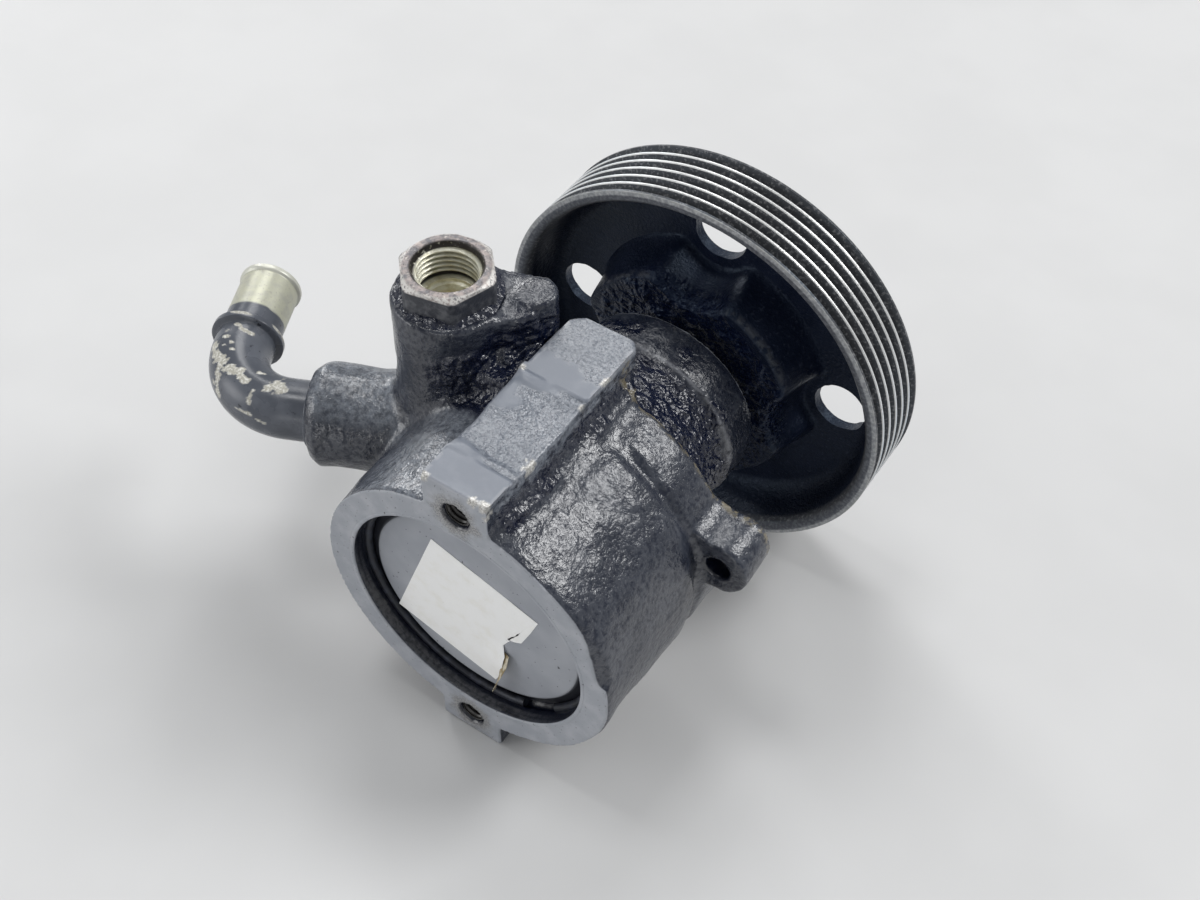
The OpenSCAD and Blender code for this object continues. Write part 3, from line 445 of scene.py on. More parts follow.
def pulley_paint():
    """Black pebbled paint with painted glints on the pebbles, bare rib tips, worn rim edges, painted
    highlight lines on the lobe edges, and dirt.
    """
    q = PULLEY
    p = Paint("pulley_paint")
    p.set("Specular IOR Level", 0.3)
    p.set("Specular Tint", (0.6, 0.78, 1.0))
    radius = p.length(p.axis("X"), p.axis("Z"))
    pebble, fine, broad = p.noise(1.0, 3, 0.6), p.noise(0.45, 2), p.noise(14, 3)
    paint = p.mix(p.span(broad, 0.35, 0.7), (0.005, 0.008, 0.020), (0.010, 0.014, 0.030))
    # Painted glints: the tops of the pebbles are painted paler
    paint = p.mix(p.times(p.span(pebble, 0.56, 0.72), 0.8), paint, (0.040, 0.048, 0.074))
    rim = p.span(radius, q.rim_r + 0.6, q.rim_r + 1.6)
    patchy = p.span(p.noise(1.1, 3), 0.4, 0.66)
    colour = p.mix(rim, paint, p.mix(patchy, (0.10, 0.105, 0.12), (0.19, 0.197, 0.215)))
    worn = p.mix(patchy, (0.30, 0.307, 0.32), (0.50, 0.507, 0.51))
    colour = p.mix(p.span(radius, q.tip_r - 1.5, q.tip_r - 1.0), colour, worn)
    soot = p.mix(p.span(p.noise(0.9, 3), 0.5, 0.72), (0.065, 0.066, 0.07), (0.25, 0.25, 0.255))
    colour = p.mix(p.mask("ribbed"), colour, soot)
    tips = p.times(p.span(radius, q.tip_r - 0.38, q.tip_r - 0.2), p.mask("ribs"))
    tips = p.times(tips, p.span(p.noise(3.2, 3), 0.24, 0.32))
    colour = p.mix(tips, colour, (0.82, 0.82, 0.81))
    # Worn rim edges and painted highlight lines on the lobe edges
    rubbed_and_highlit = p.times(p.mask("edge"), p.span(p.noise(2.2, 4), 0.40, 0.56))
    colour = p.mix(rubbed_and_highlit, colour, (0.40, 0.40, 0.385))
    grime = p.mask("grime")
    dirt = p.mix(p.span(fine, 0.5, 0.75), (0.003, 0.006, 0.022), (0.026, 0.032, 0.055))
    p.set("Base Color", p.mix(grime, colour, dirt))
    p.set("Metallic", p.times(tips, 0.6))
    p.set("Roughness", p.blend(tips, p.blend(grime, p.span(broad, 0.3, 0.7, 0.3, 0.42), 0.2), 0.35))
    first = p.bump(p.plus(pebble, p.times(fine, 0.3)), 0.4, p.blend(rim, 0.8, 0.25))
    p.bump(p.noise(2.1, 1.5, 0.5, seed=0.3), 1.5, grime, under=first)
    return p.material


def tube_paint():
    """Semi-gloss black tube paint with pale chips; the nipple is bare yellowish zinc."""
    p = Paint("tube_paint")
    broad, fine = p.noise(9, 3), p.noise(0.7, 3)
    chip, bare = p.mask("chip"), p.mask("bare")
    colour = p.mix(p.span(broad, 0.35, 0.7), (0.07, 0.078, 0.096), (0.115, 0.125, 0.148))
    colour = p.mix(p.span(p.noise(1.7, 3), 0.66, 0.72), colour, (0.02, 0.022, 0.03))
    colour = p.mix(chip, colour, p.mix(p.span(fine, 0.4, 0.7), (0.40, 0.385, 0.33), (0.74, 0.73, 0.68)))
    zinc = p.mix(p.span(p.noise(2.6, 4), 0.38, 0.68), (0.52, 0.52, 0.41), (0.45, 0.45, 0.38))
    zinc = p.mix(p.span(p.noise(0.8, 2), 0.60, 0.72), zinc, (0.40, 0.39, 0.33))
    zinc = p.mix(p.times(p.mask("bead"), 0.6), zinc, (0.70, 0.70, 0.64))
    p.set("Base Color", p.mix(bare, colour, zinc))
    p.set("Metallic", p.times(bare, 0.35))
    rough = p.blend(chip, p.span(broad, 0.3, 0.7, 0.20, 0.32), 0.6)
    p.set("Roughness", p.blend(bare, rough, 0.4))
    first = p.bump(chip, 0.15, -0.8)
    p.bump(p.noise(1.4, 3), 0.06, 0.4, under=first)
    return p.material


def union_steel():
    """Worn phosphate on steel: bare top, dark painted flanks, yellow zinc in the thread, with painted shade
    in the thread's roots and deep in the bore.
    """
    p = Paint("union_steel")
    top, thread = p.mask("top"), p.mask("thread")
    stain, fine, small = p.noise(2.2, 4), p.noise(0.6, 3), p.noise(1.0, 3, seed=0.6)
    flank = p.mix(p.span(stain, 0.42, 0.7), (0.030, 0.033, 0.043), (0.10, 0.104, 0.115))
    bare = p.mix(p.span(stain, 0.36, 0.62), (0.40, 0.345, 0.325), (0.17, 0.165, 0.175))
    bare = p.mix(p.span(fine, 0.58, 0.70), bare, (0.09, 0.075, 0.07))
    bare = p.mix(p.span(small, 0.60, 0.70), bare, (0.62, 0.58, 0.53))
    zinc = p.mix(p.span(stain, 0.4, 0.7), (0.84, 0.83, 0.70), (0.66, 0.63, 0.46))
    # Yellow zinc, darkened deep in the bore as painted shade
    zinc = p.mix(p.mask("deep"), zinc, (0.55, 0.42, 0.13))
    # Painted shade in the roots of the thread
    zinc = p.mix(p.times(p.mask("root"), 0.6), zinc, (0.09, 0.085, 0.06))
    colour = p.mix(thread, p.mix(top, flank, bare), zinc)
    colour = p.mix(p.times(p.mask("soot"), p.span(small, 0.22, 0.42)), colour, (0.04, 0.036, 0.034))
    colour = p.mix(p.times(p.mask("rim"), p.span(fine, 0.36, 0.52)), colour, (0.66, 0.64, 0.61))
    p.set("Base Color", colour)
    p.set("Metallic", p.blend(thread, p.times(top, 0.3), 0.5))
    p.set("Roughness", p.blend(top, 0.36, 0.45))
    p.bump(p.plus(stain, fine), 0.2, 0.6)
    return p.material


# Radii between which the near-black edge of the end cover begins, painted shade in the groove round the cover
SHADED_EDGE = (29.3, 30.6)


def cover_paint():
    """Smooth grey satin paint with faint scuffs, specks and a near-black outer edge that is painted shade in
    the groove round the cover.
    """
    p = Paint("cover_paint")
    colour = p.mix(p.span(p.noise(16, 3), 0.35, 0.7), (0.30, 0.316, 0.352), (0.37, 0.386, 0.42))
    colour = p.mix(p.span(p.noise(1.4, 2), 0.70, 0.75), colour, (0.06, 0.06, 0.07))
    # Painted shade: the cover turns near black towards its edge, in the groove
    shaded_edge = p.span(p.length(p.axis("X"), p.axis("Z")), *SHADED_EDGE)
    p.set("Base Color", p.mix(shaded_edge, colour, (0.012, 0.013, 0.02)))
    p.set("Roughness", p.span(p.noise(7, 3), 0.3, 0.7, 0.36, 0.5))
    p.bump(p.noise(2.0, 3), 0.03, 0.35)
    return p.material


def oiled_steel(name, color, roughness):
    """Dark oily steel."""
    p = Paint(name, color, roughness, 0.2)
    stain = p.noise(2.4, 3)
    p.set("Base Color", p.mix(p.span(stain, 0.4, 0.75), color, tuple(c * 3 for c in color)))
    p.set("Roughness", p.span(stain, 0.3, 0.7, roughness * 0.8, roughness * 1.4))
    p.bump(stain, 0.05, 0.5)
    return p.material


def paper():
    """Blank label paper, faintly yellowed and soiled."""
    p = Paint("label_paper", roughness=0.75)
    stain = p.mix(p.span(p.noise(5, 4), 0.45, 0.75), (0.93, 0.93, 0.92), (0.88, 0.87, 0.83))
    p.set("Base Color", p.mix(p.span(p.noise(1.2, 3), 0.66, 0.80), stain, (0.74, 0.73, 0.68)))
    p.bump(p.noise(1.8, 4), 0.12, 0.6)
    return p.material


def paper_back():
    """The brown, glued back of the label."""
    p = Paint("label_back", roughness=0.6)
    p.set("Base Color", p.mix(p.span(p.noise(1.8, 3), 0.42, 0.6), (0.62, 0.57, 0.45), (0.30, 0.23, 0.12)))
    p.bump(p.noise(0.9, 3), 0.1, 0.6)
    return p.material


# Housing casting

VOXEL = 0.64
SMOOTH_STEPS = 4
FILLET_RINGS = 10
FILLET_STEPS = 90
CREASE_RINGS = 6
LIP_DEPTH = 2.0
LIP_ROOM = 0.15
RECESS_SHOWN = 0.8
TRIANGLES_INSIDE = 6000
TRIANGLES_HIDDEN = 12000
# Middle and half sizes of the thick patches of grime beside the rail
GRIME_SPOTS = (((-20.0, 50.0, 45.0), (13.0, 11.0, 10.0)), ((-21.0, 37.0, 42.0), (11.0, 9.0, 8.0)))
# Middle and reach of each chip in the paint
CHIP_SPOTS = (
    ((8.3, 0.4, 50.3), 3.2), ((5.2, 0.3, 50.5), 2.2), ((9.2, 0.8, 47.5), 2.2), ((-8.8, 0.2, 50.0), 2.0),
    ((8.9, 16.0, 49.0), 2.4), ((8.9, 37.0, 49.2), 2.0), ((9.1, 46.0, 50.2), 1.8), ((-9.2, 38.5, 50.2), 1.8),
)


def in_bores(p):
    """True for points on the walls of the bores and threaded holes."""
    x, y, z = p.T
    r = np.hypot(x, z)
    chamber = (r < BORE_R + 2.2) & (y > 0.4) & (y < CHAMBER_BOUND)
    shaft = (r < SHAFT_BOUND_R) & (y > CHAMBER_BOUND - 2)
    valve = np.hypot(x - VALVE_AXIS[0], y - VALVE_AXIS[1]) < VALVE_BOUND_R
    valve &= (z > VALVE_BOUND_LOW) & (z < VALVE_TOP - 0.4)
    holes = np.hypot(x, np.abs(z) - REAR_HOLE_Z) < REAR_HOLE_R + 0.5
    holes &= (y > 0.3) & (y < REAR_HOLE_DEPTH + 1)
    ear = np.hypot(x - EAR_AXIS[0], z - EAR_AXIS[1]) < EAR_HOLE_R + 0.5
    return chamber | shaft | valve | holes | ear


class Faces:
    """The machined faces and bores of the housing, found on its voxel mesh."""

    def __init__(self, p, normal):
        x, y, z = p.T
        radius = np.hypot(x, z)
        self.angle = np.arctan2(z, x)
        self.inner = in_bores(p)
        self.rear = (y < 0.8 * VOXEL) & (normal[:, 1] < -0.55)
        self.pads = (z > RAIL_TOP - 0.5) & (normal[:, 2] > 0.6) & (np.abs(x) < RAIL_HALF + 0.3)
        self.pads &= (y < REAR_PAD_END + 0.3) | (y > FRONT_PAD_START - 0.3)
        self.nose = (y > NOSE_Y - 0.5) & (normal[:, 1] > 0.6)
        self.wall = (np.abs(radius - BORE_R) < 0.7 * VOXEL) & (y < COVER_Y + 1)
        self.mouth = np.hypot(y, radius - BORE_R) < 0.75 * VOXEL
        beside = np.abs(z) - REAR_HOLE_Z
        self.hole = np.hypot(y, np.hypot(x, beside) - REAR_HOLE_MOUTH_R) < 0.75 * VOXEL
        turn = np.arctan2(beside, x)[self.hole]
        self.hole_x = REAR_HOLE_MOUTH_R * np.cos(turn)
        self.hole_z = np.sign(z[self.hole]) * (REAR_HOLE_Z + REAR_HOLE_MOUTH_R * np.sin(turn))

    def bore_to(self, points, chosen, radius):
        """Moves the chosen points to that radius of the rear bore."""
        points[chosen, 0] = radius * np.cos(self.angle[chosen])
        points[chosen, 2] = radius * np.sin(self.angle[chosen])

    def settle(self, points):
        """Keeps the machined faces flat and their edges round."""
        points[self.rear | self.mouth | self.hole, 1] = REAR_Y
        points[self.pads, 2] = RAIL_TOP
        points[self.nose, 1] = NOSE_Y
        self.bore_to(points, self.wall | self.mouth, BORE_R)
        points[self.hole, 0] = self.hole_x
        points[self.hole, 2] = self.hole_z
        return points


def voxel_housing():
    """The housing's solid as an even voxel mesh."""
    mesh = NODES["pump_housing"].data.copy()
    obj = add_object("housing_casting", mesh)
    bm = bmesh.new()
    bm.from_mesh(mesh)
    bmesh.ops.remove_doubles(bm, verts=bm.verts, dist=2e-6)
    bm.to_mesh(mesh)
    bm.free()
    voxels = obj.modifiers.new("voxels", "REMESH")
    voxels.mode = "VOXEL"
    voxels.voxel_size = VOXEL * MM
    apply_modifiers(obj)
    return obj


def rounded(mesh, near, faces):
    """Points of the housing with round edges and casting fillets."""
    p = vertex_points(mesh)
    for _ in range(SMOOTH_STEPS):
        p = faces.settle(p + 0.5 * (near.mean(p) - p))
    # Hollows outside the bores are smoothed further, up to the edges that stand out
    set_points(mesh, p)
    hollow = near.hollow(p, vertex_normals(mesh))
    groove = (np.abs(p[:, 1] - GROOVE_Y) < 4) & (p[:, 2] < 36)
    weight = ramp(hollow, 0.008, 0.03) * ~(faces.inner | groove)
    for _ in range(FILLET_RINGS):
        weight = np.maximum(weight, near.mean(weight))
    weight *= (1 - near.mean(ramp(-hollow, 0.012, 0.03))) * ~(faces.inner | faces.rear)
    for _ in range(FILLET_STEPS):
        p = faces.settle(p + 0.5 * weight[:, None] * (near.mean(p) - p))
    return p


def fill_rail(p):
    """Raises the cast stretch between the rail pads to where the paint fills it."""
    x, y, z = p.T
    along = y + 1.6 * value_noise(p, 6.0, 31)
    open_part = ramp(along, REAR_PAD_END - 1, REAR_PAD_END + 4)
    open_part *= 1 - ramp(along, FRONT_PAD_START - 4, FRONT_PAD_START + 1)
    fill = RECESS_DEPTH - RECESS_SHOWN * open_part
    on_rail = (np.abs(x) < RAIL_HALF + 0.4) & (y > REAR_PAD_END - 2.5) & (y < FRONT_PAD_START + 2.5)
    raised = np.minimum(RAIL_TOP, z + fill * ramp(z, RAIL_TOP - 4, RAIL_TOP - 1.8))
    p[:, 2] = np.where(on_rail & (z > RAIL_TOP - 4), raised, z)


def grime_and_crease_shade(p, crease_shade, faces):
    """Share of oil-wet grime: thick beside the rail and on the neck and nose, and a thin share in every
    crease and corner that is painted shade.
    """
    x, y, z = p.T
    radius = np.hypot(x, z)
    beside = sum(np.exp(-(((p - spot) / size) ** 2).sum(1)) for spot, size in GRIME_SPOTS)
    beside *= np.abs(x) > RAIL_HALF + 0.3
    neck = ramp(y, BODY_L - 0.5, BODY_L + 3.5) * (1 - ramp(y, WAIST_END - 2, WAIST_END)) * (radius < 38)
    nose = ramp(value_noise(p, 7.0, 22) - 0.02 * (z - 12), -0.3, 0.5)
    nose *= ramp(y, WAIST_END - 7, WAIST_END - 1) * (radius < 30)
    ledge = (np.abs(x - RAIL_HALF - 1.5) < 1.8) & (z > 36) & (z < 46) & (y > 4)
    grime = np.max([1.8 * beside, 1.1 * neck, 0.9 * nose, 0.55 * ledge], axis=0)
    # Painted shade: the share grows in every crease and corner
    grime += 8.0 * np.clip(crease_shade, 0, 0.06)
    grime = ramp(grime + 0.3 * value_noise(p, 7.0, 1), 0.35, 0.8)
    return grime * ~(faces.rear | faces.pads | faces.nose)


def paint_chips(p):
    """Share of bare metal in ragged chips round the chip spots."""
    speckle = value_noise(p, 1.3, 6) * 0.45 + value_noise(p, 0.7, 7) * 0.3
    chip = np.max([1 - np.linalg.norm(p - spot, axis=1) / size for spot, size in CHIP_SPOTS], axis=0)
    return ramp(np.maximum(chip, 0) + speckle, 0.40, 0.5) * (chip > 0)


def casting():
    """The housing with rounded edges, cast skin, lumps of grime and chipped corners."""
    obj = voxel_housing()
    mesh = obj.data
    near = Neighbours(mesh)
    faces = Faces(vertex_points(mesh), vertex_normals(mesh))
    base = rounded(mesh, near, faces)
    fill_rail(base)
    set_points(mesh, base)
    normal = vertex_normals(mesh)
    curve = near.hollow(base, normal)
    # Smoothed hollowness that adds painted shade in the creases
    crease_shade = curve
    for _ in range(CREASE_RINGS):
        crease_shade = near.mean(crease_shade)
    x, y, z = base.T
    radius = np.hypot(x, z)
    grime = grime_and_crease_shade(base, crease_shade, faces)
    # Cast skin and clots of grime, kept off the machined faces
    turned = (np.abs(radius - NOSE_R) < 0.7) & (y > WAIST_END)
    skin = ~(faces.inner | faces.rear | faces.pads | faces.nose | faces.wall | faces.mouth)
    soft = near.mean(near.mean(skin.astype(float)))
    lumps = 0.09 * value_noise(base, 1.9, 23) + 0.09 * value_noise(base, 3.0, 2)
    lumps += 0.2 * value_noise(base, 6.0, 3)
    lumps += (0.95 * value_noise(base, 15, 4) + 0.3 * value_noise(base, 9, 30)) * (1 - turned)
    clots = 0.9 * np.clip(value_noise(base, 3.4, 5) + 0.1, 0, 1) + 0.55 * value_noise(base, 1.9, 24)
    p = faces.settle(base + normal * (soft * (lumps + grime * clots * (1 - 0.6 * turned)))[:, None])
    # Room under the clean lip of the bore
    p[(radius < BORE_R + 1.2) & (p[:, 1] < 0.5), 1] = 0.08
    faces.bore_to(p, faces.wall & (p[:, 1] < LIP_DEPTH + 0.5), BORE_R + LIP_ROOM)
    set_points(mesh, p)
    # Painted highlight along the upper half of the nose ring's rear edge
    nose_edge_highlight = 1 - ramp(np.hypot(radius - NOSE_R + 0.3, y - WAIST_END - 0.2), 0.2, 0.7)
    rail_edge = ramp(-near.mean(curve), 0.02, 0.05) * (np.abs(x) < RAIL_HALF + 0.5) * (z > RAIL_TOP - 1)
    # Bore walls, for their painted shade
    bore_shade = faces.inner & ((y > 2) | (radius > BORE_R + 2.2))
    # Up-facing faces for dust and painted sheen, stronger towards the left
    facing_up = ramp(normal[:, 2], 0.5, 0.9) * (y < BODY_L + 1.5) * (z < RAIL_TOP - 2)
    front_edge = (np.abs(y - BODY_L + 0.4) < 1.6) & (radius > 36) & (x > 9) & (z > 8)
    set_masks(mesh, grime=grime, chip=paint_chips(p), bore=near.mean(bore_shade.astype(float)),
              edge=np.maximum(0.5 * rail_edge, 0.6 * nose_edge_highlight * (z > 0)),
              dusty=facing_up * (0.1 + 0.8 * ramp(-x, 2, 10)) * (1 - grime),
              sealant=near.mean(front_edge.astype(float)))
    deep = faces.inner & ~((y < COVER_Y + 2) & (radius > BORE_R - 1))
    hidden = ~faces.inner & (y > 3) & ((z < -12) | ((y > 58) & ((z < 3) | (x < -18))))
    thin_mesh(obj, {"inside": (deep, TRIANGLES_INSIDE), "hidden": (hidden, TRIANGLES_HIDDEN)})
    return finished(obj, 60, cast_paint())


def thin_mesh(obj, areas):
    """Thins each named area of vertices to about its number of triangles."""
    total = sum(len(f.vertices) - 2 for f in obj.data.polygons)
    for name, (chosen, most) in areas.items():
        group = obj.vertex_groups.new(name=name)
        group.add([int(i) for i in np.nonzero(chosen)[0]], 1.0, "REPLACE")
        thin = obj.modifiers.new(name, "DECIMATE")
        thin.vertex_group = name
        surplus = max(0.0, total * chosen.sum() / len(chosen) - most)
        thin.ratio = 1 - surplus / total
        total -= surplus
    apply_modifiers(obj)


def bore_lip():
    """The turned edge of the rear bore, a true circle where the cast skin ends."""
    segments = 300
    outline = ((1.15, 0.06), (1.1, 0.0), (0.35, 0.0), (0.1, 0.1), (0.0, 0.35), (0.0, LIP_DEPTH),
               (0.4, LIP_DEPTH), (0.4, 0.4), (0.6, 0.16), (1.15, 0.16))
    obj = ring_solid("bore_lip", [ring_y([BORE_R + r] * segments, y) for r, y in outline])
    return finished(obj, 60, bpy.data.materials["cast_paint"])


# Belt pulley

PULLEY = SimpleNamespace(
    boss_y=98.0, web_y=113.0, web_t=3.0, rim_y=100.0, front_y=122.8, tip_r=58.0, groove_r=55.1, rim_r=52.9,
    pitch=3.56, grooves=6, lobe_r=33.0, scallop_r=14.5, window_r=7.7, circle_r=41.0, hub_r=14.5, bore_r=8.01,
    hub_front=118.0, lean=0.2)
PULLEY.lip = (PULLEY.front_y - PULLEY.rim_y - PULLEY.grooves * PULLEY.pitch) / 2
WINDOW_ANGLES = turns(4)
WINDOWS = [PULLEY.circle_r * np.array([math.cos(a), math.sin(a)]) for a in WINDOW_ANGLES]
LOBE_BLEND = 2.4


def lobe_depth(radius, angle, wall):
    """Distance into the lobed outline of the boss, shrunk by a wall; negative outside it."""
    q = PULLEY
    depth = q.lobe_r - wall - radius
    for a in WINDOW_ANGLES:
        apart = math.sqrt(radius ** 2 + q.circle_r ** 2 - 2 * radius * q.circle_r * math.cos(angle - a))
        other = apart - q.scallop_r - wall
        h = max(0.0, LOBE_BLEND - abs(depth - other)) / LOBE_BLEND
        depth = min(depth, other) - h * h * LOBE_BLEND / 4
    return depth


def soft_step(t, low_round, high_round):
    """A 0 to 1 slope in t from 0 to 1 with rounded foot and head."""
    if t < -low_round:
        return 0.0
    if t < low_round:
        return (t + low_round) ** 2 / (4 * low_round)
    if t > 1 + high_round:
        return 1.0
    if t > 1 - high_round:
        return 1 - (1 + high_round - t) ** 2 / (4 * high_round)
    return t


def dish(radius, angle, wall, top, bottom):
    """Height of the pressed web at a place: top inside the lobes, bottom outside them."""
    run = PULLEY.lean * (bottom - top)
    t = -lobe_depth(radius, angle, wall) / run
    return top + (bottom - top) * soft_step(t, 0.22, 0.3)


def stepped(r, y, steps):
    """Points of a section given by their steps from a radius and a height."""
    return [(r + dr, y + dy) for dr, dy in steps]


def rim_outline():
    """Rim section from the rear fillet of the web, over the grooves, to its front fillet."""
    q = PULLEY
    outline = stepped(q.rim_r, q.web_y, (
        (-4.0, -0.15), (-2.6, -1.2), (-1.4, -3.0), (-0.5, -5.2), (0.0, -7.5)))
    outline += stepped(q.rim_r, q.rim_y, ((0.6, 3.2), (1.3, 1.2), (2.4, 0.1), (3.4, 0.0)))
    outline += stepped(q.tip_r, q.rim_y, ((-0.5, 0.0), (-0.1, 0.15), (0.0, 0.4)))
    half = q.pitch / 2
    flank = [(q.tip_r, half - 0.22), (q.tip_r - 0.18, half - 0.29), (q.groove_r + 1.2, 0.62),
             (q.groove_r + 0.25, 0.33), (q.groove_r, 0.12)]
    for i in range(q.grooves):
        middle = q.rim_y + q.lip + (i + 0.5) * q.pitch
        outline += [(r, middle - d) for r, d in flank] + [(r, middle + d) for r, d in reversed(flank)]
    outline += stepped(q.tip_r, q.front_y, ((0.0, -0.4), (-0.1, -0.15), (-0.5, 0.0)))
    outline += stepped(q.rim_r, q.front_y, ((2.2, 0.0), (1.3, -0.3), (0.4, -1.6), (0.0, -3.0)))
    outline += stepped(q.rim_r, q.web_y + q.web_t, ((0.0, 1.6), (-0.4, 0.6), (-1.4, 0.1)))
    return outline


def cut_windows(obj):
    """Cuts the round windows through the web."""
    q = PULLEY
    cutters = []
    for x, z in WINDOWS:
        bpy.ops.mesh.primitive_cylinder_add(
            vertices=72, radius=q.window_r * MM, depth=4 * q.web_t * MM, rotation=(math.pi / 2, 0, 0),
            location=(x * MM, (q.web_y + q.web_t / 2) * MM, z * MM))
        cutter = bpy.context.object
        cut = obj.modifiers.new("window", "BOOLEAN")
        cut.operation = "DIFFERENCE"
        cut.solver = "FAST"
        cut.object = cutter
        cutters.append(cutter)
    apply_modifiers(obj)
    for cutter in cutters:
        bpy.data.objects.remove(cutter)


def belt_pulley():
    """Rim with belt grooves, pressed web with a lobed boss, round windows and the hub sleeve."""
    q = PULLEY
    segments = 320
    rear_radii = np.concatenate([np.linspace(q.hub_r + 0.6, 26, 14), np.linspace(26.6, 40, 26),
                                 np.linspace(40.8, q.rim_r - 4.8, 10)])
    front_radii = np.concatenate([np.linspace(q.rim_r - 2.4, 40, 12), np.linspace(39.4, 24, 28),
                                  np.linspace(23, q.hub_r + 1.2, 8)])
    boss_front, web_front = q.boss_y + q.web_t, q.web_y + q.web_t
    rim = rim_outline()
    hub = stepped(q.hub_r, boss_front, ((0.35, 0.3), (0.0, 1.2)))
    hub += stepped(q.hub_r, q.hub_front, ((0.0, -0.6), (-0.6, 0.0)))
    hub += stepped(q.bore_r, q.hub_front, ((0.5, 0.0), (0.0, -0.5)))
    hub += stepped(q.bore_r, q.boss_y, ((0.0, 0.5), (0.5, 0.0)))
    rings = []
    for a in turns(segments):
        section = [(r, dish(r, a, 0.0, q.boss_y, q.web_y)) for r in rear_radii] + rim
        section += [(r, dish(r, a, q.web_t, boss_front, web_front)) for r in front_radii] + hub
        rings.append([(r * math.cos(a), y, r * math.sin(a)) for r, y in section])
    obj = ring_solid("belt_pulley", rings)
    cut_windows(obj)
    mesh = obj.data
    p = vertex_points(mesh)
    x, y, z = p.T
    radius = np.hypot(x, z)
    ribbed = (radius > q.groove_r - 1.1) & (y > q.rim_y + 0.35) & (y < q.front_y - 0.35)
    inner_ribs = (y > q.rim_y + q.lip + 0.6 * q.pitch) & (y < q.front_y - q.lip - 0.6 * q.pitch)
    rim_edge = (radius > q.tip_r - 0.45) & ((y < q.rim_y + 0.3) | (y > q.front_y - 0.3))
    # Painted highlight lines along the lobed outline of the boss
    lobe_edge_highlight = np.array([r < 40 and abs(lobe_depth(r, a, 0.0)) < 0.12 and h < q.boss_y + 2
                          for r, a, h in zip(radius, np.arctan2(z, x), y)], float)
    grime = (1.25 - ramp(radius, 26, 36)) * (y < q.boss_y + 6)
    grime = ramp(grime + 0.45 * value_noise(p, 6, 8), 0.5, 0.95) * (radius < 48)
    set_masks(mesh, ribbed=ribbed, ribs=ribbed & inner_ribs, grime=grime,
              edge=np.maximum(rim_edge, 0.12 * lobe_edge_highlight))
    web = (radius < 51) & (radius > 16)
    window = np.min([np.hypot(x - a, z - b) for a, b in WINDOWS], axis=0)
    lumps = 0.09 * value_noise(p, 2.2, 9) + 0.14 * value_noise(p, 9, 10)
    lumps += 0.9 * grime * np.clip(value_noise(p, 3, 11), 0, 1)
    p = p + vertex_normals(mesh) * (lumps * web * (window > q.window_r + 0.4))[:, None]
    # Dirt crusts on the edges of the windows
    on_window = (np.abs(window - q.window_r) < 0.1) & web
    crust = 0.05 * np.clip(value_noise(p, 2.0, 29), 0, 1) * on_window
    for middle in WINDOWS:
        close = np.linalg.norm(p[:, [0, 2]] - middle, axis=1) < q.window_r + 1
        p[:, [0, 2]] += (middle - p[:, [0, 2]]) * (crust * close)[:, None]
    set_points(mesh, p)
    return finished(obj, 40, pulley_paint())


# Outlet union

UNION = SimpleNamespace(top=66.0, seat=43.0, stem=31.0, flats=21.8, thread_r=8.0, pitch=1.5, thread_l=11.0,
                        body_r=10.0, stem_r=5.5, turn=12.0, bore_r=3.0, corner=0.45)


def union_rows():
    """Rows from the stem, over the hexagon, down the thread: height, form, radius or inset, masks."""
    q = UNION
    low = VALVE_TOP + 0.01
    thread_low = q.top - q.thread_l
    rows = [(z, "round", r, "") for z, r in (
        (q.stem, 1.5), (q.stem, q.stem_r - 0.4), (q.stem + 0.4, q.stem_r), (q.seat, q.stem_r),
        (q.seat, q.body_r - 0.6), (q.seat + 0.6, q.body_r), (low, q.body_r))]
    rows += [(low + h, "hexagon", inset, "") for h, inset in ((0.0, 0.5), (0.25, 0.1), (0.6, 0.0))]
    rows += [(low + 0.6 + t * (q.top - 1.9 - low), "hexagon", 0.0, "") for t in (0.25, 0.5, 0.75, 1.0)]
    rows += [(q.top - h, "hexagon", inset, masks) for h, inset, masks in (
        (1.0, 0.35, "top rim"), (0.6, 0.8, "top rim"), (0.25, 1.3, "top rim"), (0.04, 1.8, "top"),
        (0.0, 2.4, "top"))]
    rows += [(q.top - h, "round", q.thread_r + r, masks) for h, r, masks in (
        (0.0, 1.0, "top"), (0.3, 0.62, "top soot"), (0.7, 0.5, "soot thread"), (1.2, 0.35, "soot thread"),
        (1.7, 0.12, "soot thread"))]
    rows += [(z, "thread", 0.0, "thread") for z in np.arange(q.top - 1.9, thread_low + 1.9, -0.125)]
    rows += [(thread_low + h, "round", q.thread_r + r, masks) for h, r, masks in (
        (1.8, 0.3, "soot"), (0.8, 0.3, "soot"), (0.7, -0.4, "thread"), (0.5, -1.4, "thread"),
        (-0.2, -1.6, "thread"), (-0.4, -2.4, "thread"), (-1.2, -2.7, "thread"))]
    # The bore below the thread, darkened deep inside as painted shade
    rows += [(z, "round", r, "thread deep") for z, r in (
        (thread_low - 2.4, q.bore_r + 0.6), (thread_low - 3.4, q.bore_r), (q.stem + 8, q.bore_r),
        (q.stem + 8, 1.5))]
    return rows


